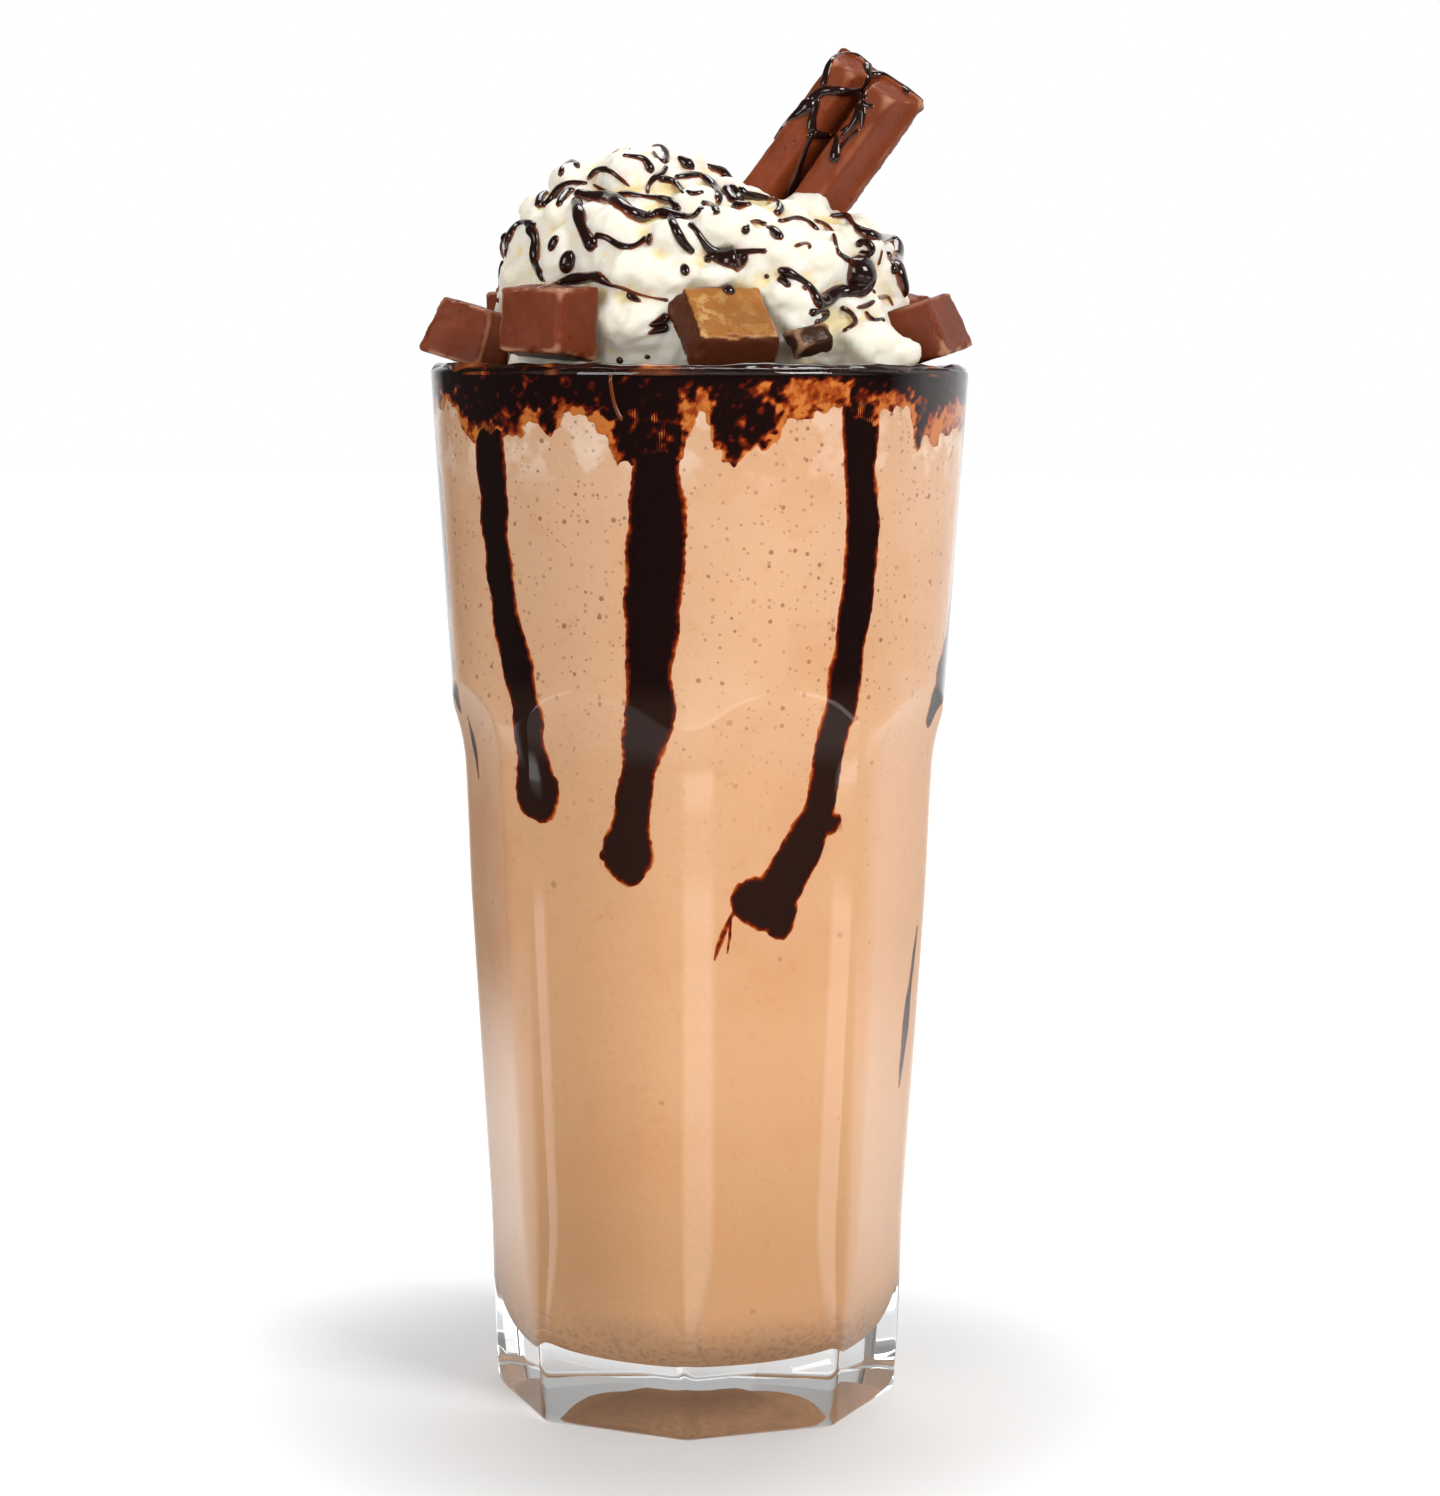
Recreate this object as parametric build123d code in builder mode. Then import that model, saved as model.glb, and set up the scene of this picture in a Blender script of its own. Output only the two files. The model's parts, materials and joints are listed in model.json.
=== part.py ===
from build123d import *
import math
import os

# Chocolate milkshake in a tall eight-sided glass tumbler, topped with piped whipped cream, moulded chocolate
# chunks and a two-finger chocolate bar.
# Millimetres, +Z up. The origin is the centre of the tumbler's underside, and the front of the drink is -Y.
# An azimuth is in degrees from the front towards +X.

# ---- Tumbler -------------------------------------------------------------------------------------------------
glass_height = 178.0
rim_radius = 45.9  # the round outside, at the top
base_corner_radius = 34.8  # from the axis to an arris, at the underside
facet_count = 8
front_arris_azimuth = -2.8
arch_crown_height = 125.0  # where the middle of each flat facet has run out into the round wall
arch_flare_height = 15.0  # how far below the crown a facet starts to curve outwards
wall_at_rim = 3.0
wall_at_flare = 2.6  # behind the middle of a facet, where it starts to curve
wall_at_floor = 4.2  # behind the middle of a facet, at the level of the floor
floor_thickness = 10.5
floor_corner_radius = 11.0
lip_round = 1.4
base_edge_round = 1.2
underside_hollow = 4.2  # how high the shallow dish under the base rises at its middle
underside_ring = 28.4  # radius of the dish's edge

# ---- Drink ---------------------------------------------------------------------------------------------------
drink_below_rim = 3.5
clearance = 0.05  # between the drink and the tumbler, and between the cream and the drink

# ---- Whipped cream -------------------------------------------------------------------------------------------
cream_to_glass = 4.6  # from the widest piped ridge to the inside of the rim
bottom_tier_height = 19.0
# The tiers above: centre x, centre y, height of the foot above the drink, height, radius, number of ridges.
upper_tiers = [
    (0.0, 0.5, 14.5, 16.0, 34.0, 12),
    (-10.2, -1.0, 24.5, 17.0, 17.6, 9),
    (20.0, 1.0, 17.0, 13.8, 15.0, 8),
]
bottom_tier_ridges = 13
tier_outline = [(0.0, 0.92), (0.25, 1.0), (0.55, 0.88), (0.82, 0.6), (1.0, 0.24)]  # shares of height and radius
ridge_relief = 0.045  # how far a ridge stands out and a valley goes in, as a share of the radius
tier_twist = 34.0  # degrees that the ridges turn over the height of a tier

# ---- Chocolate chunks: moulded blocks with a larger foot and a smaller face ------------------------------------
chunk_foot_width = 14.2
chunk_foot_depth = 12.6
chunk_thickness = 10.0
chunk_draft = 1.2  # how far each side slopes in between foot and face
chunk_edge_round = 0.7
# Azimuth, distance in from the rim, height of the middle above the rim, then how the face looks: its lean from
# straight up, the azimuth that it leans towards, and the block's turn about its own middle.
chunk_places = [
    (-72.5, 6.4, 5.0, 17.0, 90.0, -25.0),
    (-38.0, 5.4, 7.2, 88.0, -31.0, -2.0),
    (7.1, 11.0, 6.8, 46.6, 22.3, 2.0),
    (74.0, 7.4, 6.0, 18.0, -90.0, -25.0),
    (121.0, 6.4, 7.4, 80.0, 128.0, 4.0),
    (181.0, 8.6, 7.0, 58.0, 170.0, -3.0),
    (232.0, 6.6, 7.4, 84.0, 226.0, 3.0),
]
golden_number = 3  # the golden chunk is a wider, lower block
golden_size = (16.5, 14.5, 6.1, 1.5)  # foot width, foot depth, thickness and draft
shard_width = 8.8
shard_depth = 5.8
shard_thickness = 3.6
shard_place = (28.4, 8.2, 4.6, 64.0, 24.0, 14.0)

# ---- Two-finger bar ------------------------------------------------------------------------------------------
bar_length = 50.0
bar_width = 18.2
bar_slab_thickness = 2.4
bar_corner_round = 1.0
finger_height = 6.2
finger_foot_width = 7.8
finger_crown_width = 4.8
finger_spacing = 8.4
finger_end_slope = 2.4  # how far a finger's crown stops short of its foot at each end
finger_crown_round = 1.6
bar_end_x = 31.6
bar_end_y = 3.0
bar_end_above_rim = 49.4
bar_lean = 36.0  # degrees from upright towards +X
bar_turn = -21.0  # azimuth that its fingers look to

os.makedirs("parts", exist_ok=True)

half_facet = 180.0 / facet_count
flare_start = arch_crown_height - arch_flare_height
drink_level = glass_height - drink_below_rim
rim_inner_radius = rim_radius - wall_at_rim


def round_radius(height):
    """Radius of the tumbler's round outside, on which the arrises also lie."""
    return base_corner_radius + (rim_radius - base_corner_radius) * height / glass_height


def facet_distance(height):
    """Distance from the axis to the middle of a flat facet."""
    return round_radius(height) * math.cos(math.radians(half_facet))


def hollow_section(gap):
    """Half section of the tumbler's inside, smaller by gap, carried on past the rim."""
    floor = floor_thickness + gap
    foot_radius = facet_distance(floor_thickness) - wall_at_floor - gap
    flare_radius = facet_distance(flare_start) - wall_at_flare - gap
    top_radius = rim_inner_radius - gap
    above = glass_height + lip_round
    with BuildSketch(Plane.XZ) as section:
        with BuildLine():
            wall = ThreePointArc((foot_radius, floor), (flare_radius, flare_start), (top_radius, glass_height))
            Polyline(wall @ 1, (top_radius, above), (0, above), (0, floor), wall @ 0)
        make_face()
        fillet(section.vertices().sort_by_distance((foot_radius, floor))[0], floor_corner_radius)
    return section.sketch


def block_plane(place):
    """Plane through a block's middle, whose normal is the way that the block's face looks."""
    azimuth, inset, above_rim, lean, lean_azimuth, turn = place
    radius = rim_radius - inset
    x = radius * math.sin(math.radians(azimuth))
    y = -radius * math.cos(math.radians(azimuth))
    middle = Location((x, y, glass_height + above_rim))
    return Plane(middle * Rotation(0, 0, lean_azimuth) * Rotation(lean, 0, 0) * Rotation(0, 0, turn))


def chocolate_block(place, width, depth, thickness, draft):
    """Moulded block of chocolate with sloping sides and softened edges."""
    middle = block_plane(place)
    with BuildPart() as piece:
        with BuildSketch(middle.offset(-thickness / 2)):
            Rectangle(width, depth)
        with BuildSketch(middle.offset(thickness / 2)):
            Rectangle(width - 2 * draft, depth - 2 * draft)
        loft()
        fillet(piece.edges(), chunk_edge_round)
    return piece.part


def piped_tier(x, y, foot, height, radius, ridges):
    """One piped tier: ridged outlines that swell, close in and turn as they rise."""
    with BuildPart() as tier:
        for rise, share in tier_outline:
            with BuildSketch(Plane((x, y, drink_level + clearance + foot + rise * height))):
                with BuildLine():
                    points = []
                    for step in range(2 * ridges):
                        angle = math.radians(rise * tier_twist + step * 180.0 / ridges)
                        reach = radius * share * (1 + ridge_relief * (-1) ** step)
                        points.append((reach * math.cos(angle), reach * math.sin(angle)))
                    Spline(*points, periodic=True)
                make_face()
        loft()
    return tier.part


# ---- Tumbler -------------------------------------------------------------------------------------------------
# What lies outside one facet: a straight taper, then an arc that meets the round wall.
with BuildPart() as facet_cutter:
    with BuildSketch(Plane.XZ):
        with BuildLine():
            foot = (facet_distance(-base_edge_round), -base_edge_round)
            flat = Line(foot, (facet_distance(flare_start), flare_start))
            crown = (round_radius(arch_crown_height), arch_crown_height)
            flare = TangentArc(flat @ 1, crown, tangent=flat % 1)
            beyond = rim_radius + lip_round
            Polyline(flare @ 1, (beyond, arch_crown_height), (beyond, -base_edge_round), foot)
        make_face()
    extrude(amount=rim_radius, both=True)

hollow_profile = hollow_section(0)
dish_radius = (underside_ring**2 + underside_hollow**2) / (2 * underside_hollow)

with BuildPart() as glass:
    Cone(base_corner_radius, rim_radius, glass_height, align=(Align.CENTER, Align.CENTER, Align.MIN))
    with PolarLocations(0, facet_count, start_angle=-90 + front_arris_azimuth + half_facet):
        add(facet_cutter.part, mode=Mode.SUBTRACT)
    fillet(glass.edges().group_by(Axis.Z)[0], base_edge_round)
    with Locations((0, 0, underside_hollow - dish_radius)):
        Sphere(dish_radius, mode=Mode.SUBTRACT)
    add(hollow_profile)
    revolve(axis=Axis.Z, mode=Mode.SUBTRACT)
    fillet(glass.edges().group_by(Axis.Z)[-1], lip_round)
glass.part.label = "glass"
export_step(glass.part, "parts/glass.step")

# ---- Drink ---------------------------------------------------------------------------------------------------
drink_profile = hollow_section(clearance)

with BuildPart() as milkshake:
    add(drink_profile)
    revolve(axis=Axis.Z)
    split(bisect_by=Plane.XY.offset(drink_level), keep=Keep.BOTTOM)
milkshake.part.label = "milkshake"
export_step(milkshake.part, "parts/milkshake.step")

# ---- Chocolate chunks and shard --------------------------------------------------------------------------------
chunks = []
chunk_size = (chunk_foot_width, chunk_foot_depth, chunk_thickness, chunk_draft)
for number, place in enumerate(chunk_places, start=1):
    chunk = chocolate_block(place, *(golden_size if number == golden_number else chunk_size))
    chunk.label = f"chocolate_chunk_{number}"
    export_step(chunk, f"parts/chocolate_chunk_{number}.step")
    chunks.append(chunk)

shard = chocolate_block(shard_place, shard_width, shard_depth, shard_thickness, chunk_draft)
shard.label = "chocolate_shard"
export_step(shard, "parts/chocolate_shard.step")

# ---- Two-finger bar: its length runs down its plane's Y, and its fingers rise along the plane's normal -----------
bar_end = Location((bar_end_x, bar_end_y, glass_height + bar_end_above_rim))
bar_plane = Plane(bar_end * Rotation(0, bar_lean, 0) * Rotation(0, 0, bar_turn) * Rotation(90, 0, 0))

with BuildPart() as bar:
    with BuildSketch(bar_plane):
        with Locations((0, -bar_length / 2)):
            RectangleRounded(bar_width, bar_length, bar_corner_round)
    extrude(amount=bar_slab_thickness)
    for side in (-1, 1):
        with BuildSketch(bar_plane.offset(bar_slab_thickness)):
            with Locations((side * finger_spacing / 2, -bar_length / 2)):
                Rectangle(finger_foot_width, bar_length - 2 * bar_corner_round)
        with BuildSketch(bar_plane.offset(bar_slab_thickness + finger_height)):
            with Locations((side * finger_spacing / 2, -bar_length / 2)):
                Rectangle(finger_crown_width, bar_length - 2 * bar_corner_round - 2 * finger_end_slope)
        loft()
    crown_plane = bar_plane.offset(bar_slab_thickness + finger_height)
    crown_faces = bar.faces().sort_by(Axis(crown_plane.origin, crown_plane.z_dir))[-2:]
    fillet(crown_faces.edges(), finger_crown_round)
bar.part.label = "chocolate_bar"
export_step(bar.part, "parts/chocolate_bar.step")

# ---- Whipped cream: fused tiers, moulded round what is pushed into them ------------------------------------------
bottom_radius = (rim_inner_radius - cream_to_glass) / (1 + ridge_relief)
tiers = [piped_tier(0, 0, 0, bottom_tier_height, bottom_radius, bottom_tier_ridges)]
tiers += [piped_tier(*tier) for tier in upper_tiers]

with BuildPart() as cream:
    add(tiers)
    for pushed_in in [*chunks, shard, bar.part]:
        add(pushed_in, mode=Mode.SUBTRACT)
cream.part.label = "whipped_cream"
export_step(cream.part, "parts/whipped_cream.step")
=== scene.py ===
"""Looks of a chocolate milkshake in its panelled tumbler, laid out as an add-on that builds the scene.

Lengths in the property groups are metres. Lists of places on the toppings are in millimetres, as a maker would
measure them. An azimuth is in degrees from the front (-Y) towards +X.
"""

import json
import math

import bpy
import bmesh
import numpy as np
from bpy.props import FloatProperty, FloatVectorProperty, IntProperty, PointerProperty
from mathutils import Matrix, Vector
from mathutils.bvhtree import BVHTree

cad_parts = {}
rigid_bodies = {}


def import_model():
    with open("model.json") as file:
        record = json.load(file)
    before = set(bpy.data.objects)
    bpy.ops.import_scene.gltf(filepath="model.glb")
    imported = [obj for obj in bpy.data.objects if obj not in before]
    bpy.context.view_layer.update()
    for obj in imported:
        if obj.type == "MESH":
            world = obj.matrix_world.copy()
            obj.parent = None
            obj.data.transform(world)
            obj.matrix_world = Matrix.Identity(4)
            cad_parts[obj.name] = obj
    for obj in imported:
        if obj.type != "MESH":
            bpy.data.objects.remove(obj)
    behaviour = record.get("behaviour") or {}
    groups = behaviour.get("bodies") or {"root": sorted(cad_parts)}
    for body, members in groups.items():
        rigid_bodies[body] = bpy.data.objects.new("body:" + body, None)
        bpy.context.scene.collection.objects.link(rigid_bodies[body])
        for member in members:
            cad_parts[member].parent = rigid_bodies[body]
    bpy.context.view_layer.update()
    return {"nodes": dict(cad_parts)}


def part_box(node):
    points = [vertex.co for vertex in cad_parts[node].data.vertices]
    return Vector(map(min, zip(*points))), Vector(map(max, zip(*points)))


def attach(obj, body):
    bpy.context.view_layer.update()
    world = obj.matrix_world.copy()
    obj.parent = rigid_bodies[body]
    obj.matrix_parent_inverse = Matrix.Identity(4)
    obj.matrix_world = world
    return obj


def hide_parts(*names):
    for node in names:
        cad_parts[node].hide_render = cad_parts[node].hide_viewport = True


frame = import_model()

bl_info = {
    "name": "Chocolate milkshake",
    "version": (1, 0, 0),
    "blender": (4, 5, 0),
    "location": "3D View > Sidebar > Milkshake",
    "description": "Builds a chocolate milkshake with whipped cream, chocolate and sauce in a panelled tumbler",
    "category": "Add Mesh",
}

MM = 0.001
RIM_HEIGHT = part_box("glass")[1][2]


# ---- Sizes and colours ------------------------------------------------------------------------------------------
def length(name, description, default):
    """A property that holds a length in metres."""
    return FloatProperty(name=name, description=description, default=default, min=0.0, unit="LENGTH", precision=5)


def colour(name, description, default):
    """A property that holds a linear colour."""
    return FloatVectorProperty(
        name=name, description=description, default=default, min=0.0, max=1.0, size=3, subtype="COLOR"
    )


def angle(name, description, default):
    """A property that holds an angle, kept in radians."""
    return FloatProperty(name=name, description=description, default=default, subtype="ANGLE")


def amount(name, description, default, least=0.0):
    """A property that holds a plain number."""
    return FloatProperty(name=name, description=description, default=default, min=least)


class TumblerSizes(bpy.types.PropertyGroup):
    """The tumbler's outside, its facets and its wall."""

    height: length("Height", "Underside to lip", RIM_HEIGHT)
    rim_radius: length("Rim radius", "Round outside, at the top", 0.0459)
    base_radius: length("Base radius", "From the axis to an arris, at the underside", 0.0348)
    facets: IntProperty(name="Facets", description="Number of flat facets", default=8, min=3)
    front_arris: angle("Front arris", "Azimuth of the front arris", math.radians(-2.8))
    arch_crown: length("Arch crown", "Height at which a facet has run out", 0.125)
    arch_flare: length("Arch flare", "How far below the crown a facet starts to curve out", 0.015)
    wall_rim: length("Wall at rim", "Wall thickness at the rim", 0.003)
    wall_flare: length("Wall at flare", "Wall behind a facet where it starts to curve out", 0.0026)
    wall_floor: length("Wall at floor", "Wall behind a facet at the floor", 0.0042)
    floor: length("Floor", "Thickness of the floor", 0.0105)
    floor_round: length("Floor corner", "Radius of the inside corner", 0.011)
    lip: length("Lip", "Height of the rounded lip", 0.0014)
    base_round: length("Base edge", "Radius of the underside's edge", 0.0012)
    arris_foot: length("Arris at foot", "Width over which an arris is softened at the foot", 0.0008)
    arris_body: length("Arris on body", "Width over which an arris is softened above the foot", 0.0050)
    facet_swell: length("Facet swell", "How far a facet stands proud of its straight taper above the foot", 0.0004)
    underside: length("Underside", "How high the underside is hollowed at its middle", 0.0042)


class DrinkLook(bpy.types.PropertyGroup):
    """The drink's level and colours."""

    below_rim: length("Below rim", "From the rim down to the drink's level", 0.0035)
    reach: length("Reach", "How far the drink reaches into the wall", 0.00015)
    upper: colour("Upper", "Colour of the drink near the top", (0.700, 0.440, 0.272))
    lower: colour("Lower", "Colour of the drink lower down", (0.700, 0.410, 0.222))
    lowest: colour("Lowest", "Colour of the drink at the foot", (0.555, 0.320, 0.160))
    deep: colour("Deep", "Colour of the darker drifts", (0.64, 0.325, 0.155))
    froth: colour("Froth", "Colour of the pale patches under the sauce", (0.88, 0.70, 0.55))
    bubble: colour("Bubble", "Colour in the bubbles", (0.30, 0.13, 0.07))


class SauceLook(bpy.types.PropertyGroup):
    """The chocolate sauce's colours, behind the glass and in the open, and how thick it lies."""

    thick: colour("Thick", "Colour where the sauce on the glass is thick", (0.0085, 0.0024, 0.0018))
    # Painted reflection: thick sauce low on the glass, under the arches, takes this paler colour for the veil that
    # the facets reflect over it.
    low_sheen_and_speckle: colour("Low sheen", "Colour of thick sauce low on the glass", (0.022, 0.0085, 0.0055))
    middle: colour("Middle", "Colour where it thins", (0.090, 0.0075, 0.0022))
    thin: colour("Thin", "Colour where it is thinner still", (0.35, 0.056, 0.008))
    film_edge: colour("Film edge", "Colour at its thinnest", (0.58, 0.185, 0.038))
    film: length("Film", "Thickness of the sauce on the glass", 0.0006)
    open_edge: colour("Open edge", "Colour of open sauce at its thinnest", (0.40, 0.11, 0.022))
    open_thin: colour("Open thin", "Colour of open sauce where it is thin", (0.17, 0.034, 0.009))
    open_middle: colour("Open middle", "Colour of open sauce of middling depth", (0.044, 0.010, 0.004))
    open_thick: colour("Open thick", "Colour of open sauce where it is thick", (0.016, 0.0042, 0.0026))
    strand_rise: amount("Strand rise", "Height of a strand as a share of its half width", 0.95, 0.1)
    pool_level: length("Pool level", "How far the pool on the drink stands above the drink", 0.0022)
    pool_inner: length("Pool inside", "Radius at which the pool starts, under the cream", 0.027)


class CreamLook(bpy.types.PropertyGroup):
    """The whipped cream's mesh and colours."""

    cell: length("Cell", "Mesh spacing on the cream", 0.0006)
    ripple: length("Ripple", "Height of the soft ripples", 0.00035)
    light: colour("Light", "Colour of the cream", (0.965, 0.875, 0.735))
    # Painted shade: the warm yellow laid into the cream's folds and hollows.
    shade: colour("Shade", "Colour deep in its folds", (0.90, 0.71, 0.30))


class ChocolateLook(bpy.types.PropertyGroup):
    """The chocolate's mesh and colours."""

    cell: length("Cell", "Mesh spacing on the chocolate", 0.00036)
    chip: length("Chip", "Depth of the chips along the edges", 0.0006)
    milk: colour("Milk chocolate", "Colour of the chunks", (0.180, 0.036, 0.012))
    bar: colour("Bar", "Colour of the bar", (0.215, 0.044, 0.014))
    golden: colour("Golden", "Colour of the golden chunk's face", (0.350, 0.135, 0.032))
    # Painted highlight: pale glints laid over the golden face, most of them on its left.
    face_glint: colour("Face glint", "Colour of the pale scuffs on that face", (0.62, 0.38, 0.13))
    side: colour("Side", "Colour of that chunk's sides", (0.095, 0.024, 0.009))
    coated: colour("Coated", "Colour of the shard under its sauce", (0.05, 0.02, 0.01))
    # Painted highlight: the paler colour laid along the edges of the chunks and the bar.
    edge_highlight: colour("Edge highlight", "Colour that worn edges turn towards", (0.68, 0.36, 0.20))


class StudioLook(bpy.types.PropertyGroup):
    """Camera, lamps and floor."""

    distance: length("Distance", "Level distance from the axis to the camera", 0.63)
    eye_height: length("Eye height", "Height of the camera", 0.1765)
    pitch: angle("Pitch", "Tilt down", math.radians(5.79))
    yaw: angle("Yaw", "Turn to the right", math.radians(0.34))
    roll: angle("Roll", "Turn about the line of sight", 0.0042)
    lens: amount("Lens", "Focal length in millimetres", 88.24, 1.0)
    floor: colour("Floor", "Colour of the floor", (0.67, 0.68, 0.685))
    floor_glow: amount("Floor glow", "Light that the floor adds for the camera, close to the part", 0.05)
    ambient: amount("Ambient", "Even light from all round", 0.5)
    room: amount("Room", "How bright reflections see the room in front", 0.06)
    low_lights: amount("Low lights", "How bright reflections see the low lights in front", 2.0)
    side_light: amount("Side light", "How bright reflections see the soft light at the right", 0.85)


# ---- Formulas -------------------------------------------------------------------------------------------------
def waves(points, wavelength, seed, count=14):
    """Smooth uneven field with a spread of about 1: the sum of plane waves in random directions, with lengths from
    0.7 to 1.6 of the given one."""
    rng = np.random.default_rng(seed)
    directions = rng.normal(size=(count, 3))
    directions /= np.linalg.norm(directions, axis=1)[:, None]
    pitch = 2 * math.pi / (wavelength * rng.uniform(0.7, 1.6, count))
    phase = rng.uniform(0, 2 * math.pi, count)
    return np.sin(points @ (directions * pitch[:, None]).T + phase).sum(axis=-1) / math.sqrt(count / 2)


def soft_least(a, b, width):
    """The smaller of two arrays, with the corner between them rounded over the given width."""
    closeness = np.clip(width - np.abs(a - b), 0, None) / width
    return np.minimum(a, b) - closeness * closeness * width / 4


def smooth_step(low, high, value):
    """0 below low, 1 above high, and an S curve between."""
    share = np.clip((value - low) / (high - low), 0, 1)
    return share * share * (3 - 2 * share)


def on_circle(radius, azimuth, height):
    """Points at a radius, an azimuth in radians and a height."""
    radius, azimuth, height = np.broadcast_arrays(radius, azimuth, height)
    return np.stack([radius * np.sin(azimuth), -radius * np.cos(azimuth), height], axis=-1)


# Heights between which a facet and its arrises go over from those of the foot to those of the body.
FOOT_TO_BODY = (0.008, 0.035)
# Height at which a facet's swell starts to fade towards the arch.
SWELL_FADE = 0.085
# Width over which the edge of an arch is softened.
ARCH_SOFTENING = 0.3 * MM


class TumblerShape:
    """The tumbler's outside and inside as radii, worked out from its sizes."""

    def __init__(self, sizes):
        self.s = sizes
        self.half = math.pi / sizes.facets
        self.flare = sizes.arch_crown - sizes.arch_flare
        self.foot = np.array([self.facet(sizes.floor) - sizes.wall_floor, sizes.floor])
        waist = np.array([self.facet(self.flare) - sizes.wall_flare, self.flare])
        rim = np.array([sizes.rim_radius - sizes.wall_rim, sizes.height])
        self.centre, self.bend = self.through(self.foot, waist, rim)
        corner_height = sizes.floor + sizes.floor_round
        slope = (self.wall(corner_height + MM) - self.wall(corner_height - MM)) / (2 * MM)
        self.corner = (self.wall(corner_height) - sizes.floor_round * math.hypot(1, slope), corner_height)
        self.corner_end = -math.atan(slope)

    def round_outside(self, z):
        """Radius of the cone on which the arrises lie."""
        return self.s.base_radius + (self.s.rim_radius - self.s.base_radius) * z / self.s.height

    def facet(self, z):
        """Distance from the axis to the middle of a straight facet."""
        return self.round_outside(z) * math.cos(self.half)

    def through(self, a, b, c):
        """Centre and radius of the circle through three points, from the two perpendicular bisectors."""
        matrix = 2 * np.array([b - a, c - a])
        centre = np.linalg.solve(matrix, [b @ b - a @ a, c @ c - a @ a])
        return centre, np.linalg.norm(a - centre)

    def wall(self, z):
        """Inside radius on the wall's arc."""
        side = 1 if self.foot[0] > self.centre[0] else -1
        return self.centre[0] + side * np.sqrt(self.bend**2 - (z - self.centre[1]) ** 2)

    def flared_facet(self, z):
        """Facet distance that leaves the straight taper on a tangent arc and meets the cone at the arch's crown."""
        start = np.array([self.facet(self.flare), self.flare])
        along = np.array([self.facet(self.flare) - self.facet(0), self.flare])
        along = along / np.linalg.norm(along)
        out = np.array([along[1], -along[0]])
        reach = np.array([self.round_outside(self.s.arch_crown), self.s.arch_crown]) - start
        radius = reach @ reach / (2 * reach @ out)
        middle = start + out * radius
        arc = middle[0] - np.sqrt(np.clip(radius**2 - (z - middle[1]) ** 2, 0, None))
        return np.where(z < self.flare, self.facet(z), np.where(z < self.s.arch_crown + MM, arc, 1.0))

    def outside(self, azimuth, z):
        """Outside radius: the least of the cone, the nearest facet and its neighbour, with softened corners."""
        from_arris = np.mod(azimuth - self.s.front_arris, 2 * self.half)
        offset = np.abs(from_arris - self.half)
        body = smooth_step(*FOOT_TO_BODY, z)
        swell = body * (1 - smooth_step(SWELL_FADE, self.flare, z))
        distance = self.flared_facet(z) + self.s.facet_swell * swell
        nearest = distance / np.cos(offset)
        neighbour = distance / np.cos(2 * self.half - offset)
        soft = self.s.arris_foot + (self.s.arris_body - self.s.arris_foot) * body
        faces = soft_least(nearest, neighbour, soft)
        return soft_least(faces, self.round_outside(z) + 0 * azimuth, ARCH_SOFTENING)

    def columns(self, per_facet):
        """Azimuths that crowd together towards every arris."""
        share = np.linspace(-1, 1, per_facet + 1)[:-1]
        local = self.half * (0.62 * share + 0.38 * np.sin(share * math.pi / 2))
        starts = self.s.front_arris + self.half + 2 * self.half * np.arange(self.s.facets)
        return (starts[:, None] + local[None, :]).ravel()

    def inside_line(self, grow, top, rows):
        """(radius, height) pairs up the inside from the floor to the given height, grown outwards."""
        turn = np.linspace(-math.pi / 2, self.corner_end, 12)
        radius = self.s.floor_round + grow
        corner = np.stack([self.corner[0] + radius * np.cos(turn), self.corner[1] + radius * np.sin(turn)], axis=1)
        heights = np.linspace(corner[-1, 1], top, rows + 1)[1:]
        wall = np.stack([self.wall(heights) + grow, heights], axis=1)
        flat = np.linspace(0.2, 0.85, 4)[:, None] * corner[0] * [1, 0] + [0, corner[0, 1]]
        return np.concatenate([flat, corner, wall])


# ---- Meshes ---------------------------------------------------------------------------------------------------
def new_piece(name, vertices, faces):
    """A mesh object at the origin, with smooth shading, in the scene."""
    mesh = bpy.data.meshes.new(name)
    mesh.from_pydata(np.asarray(vertices, dtype=float).tolist(), [], faces)
    mesh.update()
    mesh.shade_smooth()
    piece = bpy.data.objects.new(name, mesh)
    bpy.context.scene.collection.objects.link(piece)
    return piece


def grid_faces(rows, columns, wrap, start=0):
    """Quads of a grid whose rows follow one another; wrap joins its last column to its first."""
    row, column = np.meshgrid(np.arange(rows - 1), np.arange(columns if wrap else columns - 1), indexing="ij")
    after = (column + 1) % columns
    here, above = row * columns, (row + 1) * columns
    corners = [here + column, here + after, above + after, above + column]
    return start + np.stack([corner.ravel() for corner in corners], axis=1)


def closed_surface(points, low_pole, high_pole, start=0):
    """Vertices and faces of a grid that wraps round, closed by a point at each end."""
    rows, columns = points.shape[:2]
    vertices = np.concatenate([points.reshape(-1, 3), [low_pole, high_pole]])
    quads = grid_faces(rows, columns, True, start).tolist()
    ring = np.arange(columns)
    after = (ring + 1) % columns
    low, high = start + rows * columns, start + rows * columns + 1
    last = start + (rows - 1) * columns
    quads += np.stack([np.full(columns, low), start + after, start + ring], axis=1).tolist()
    quads += np.stack([np.full(columns, high), last + ring, last + after], axis=1).tolist()
    return vertices, quads


def joined(surfaces):
    """One list of vertices and faces from several closed grids, each given as (points, low pole, high pole)."""
    vertices, faces, start = [], [], 0
    for points, low_pole, high_pole in surfaces:
        part_vertices, part_faces = closed_surface(points, low_pole, high_pole, start)
        vertices.append(part_vertices)
        faces += part_faces
        start += len(part_vertices)
    return np.concatenate(vertices), faces


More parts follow.
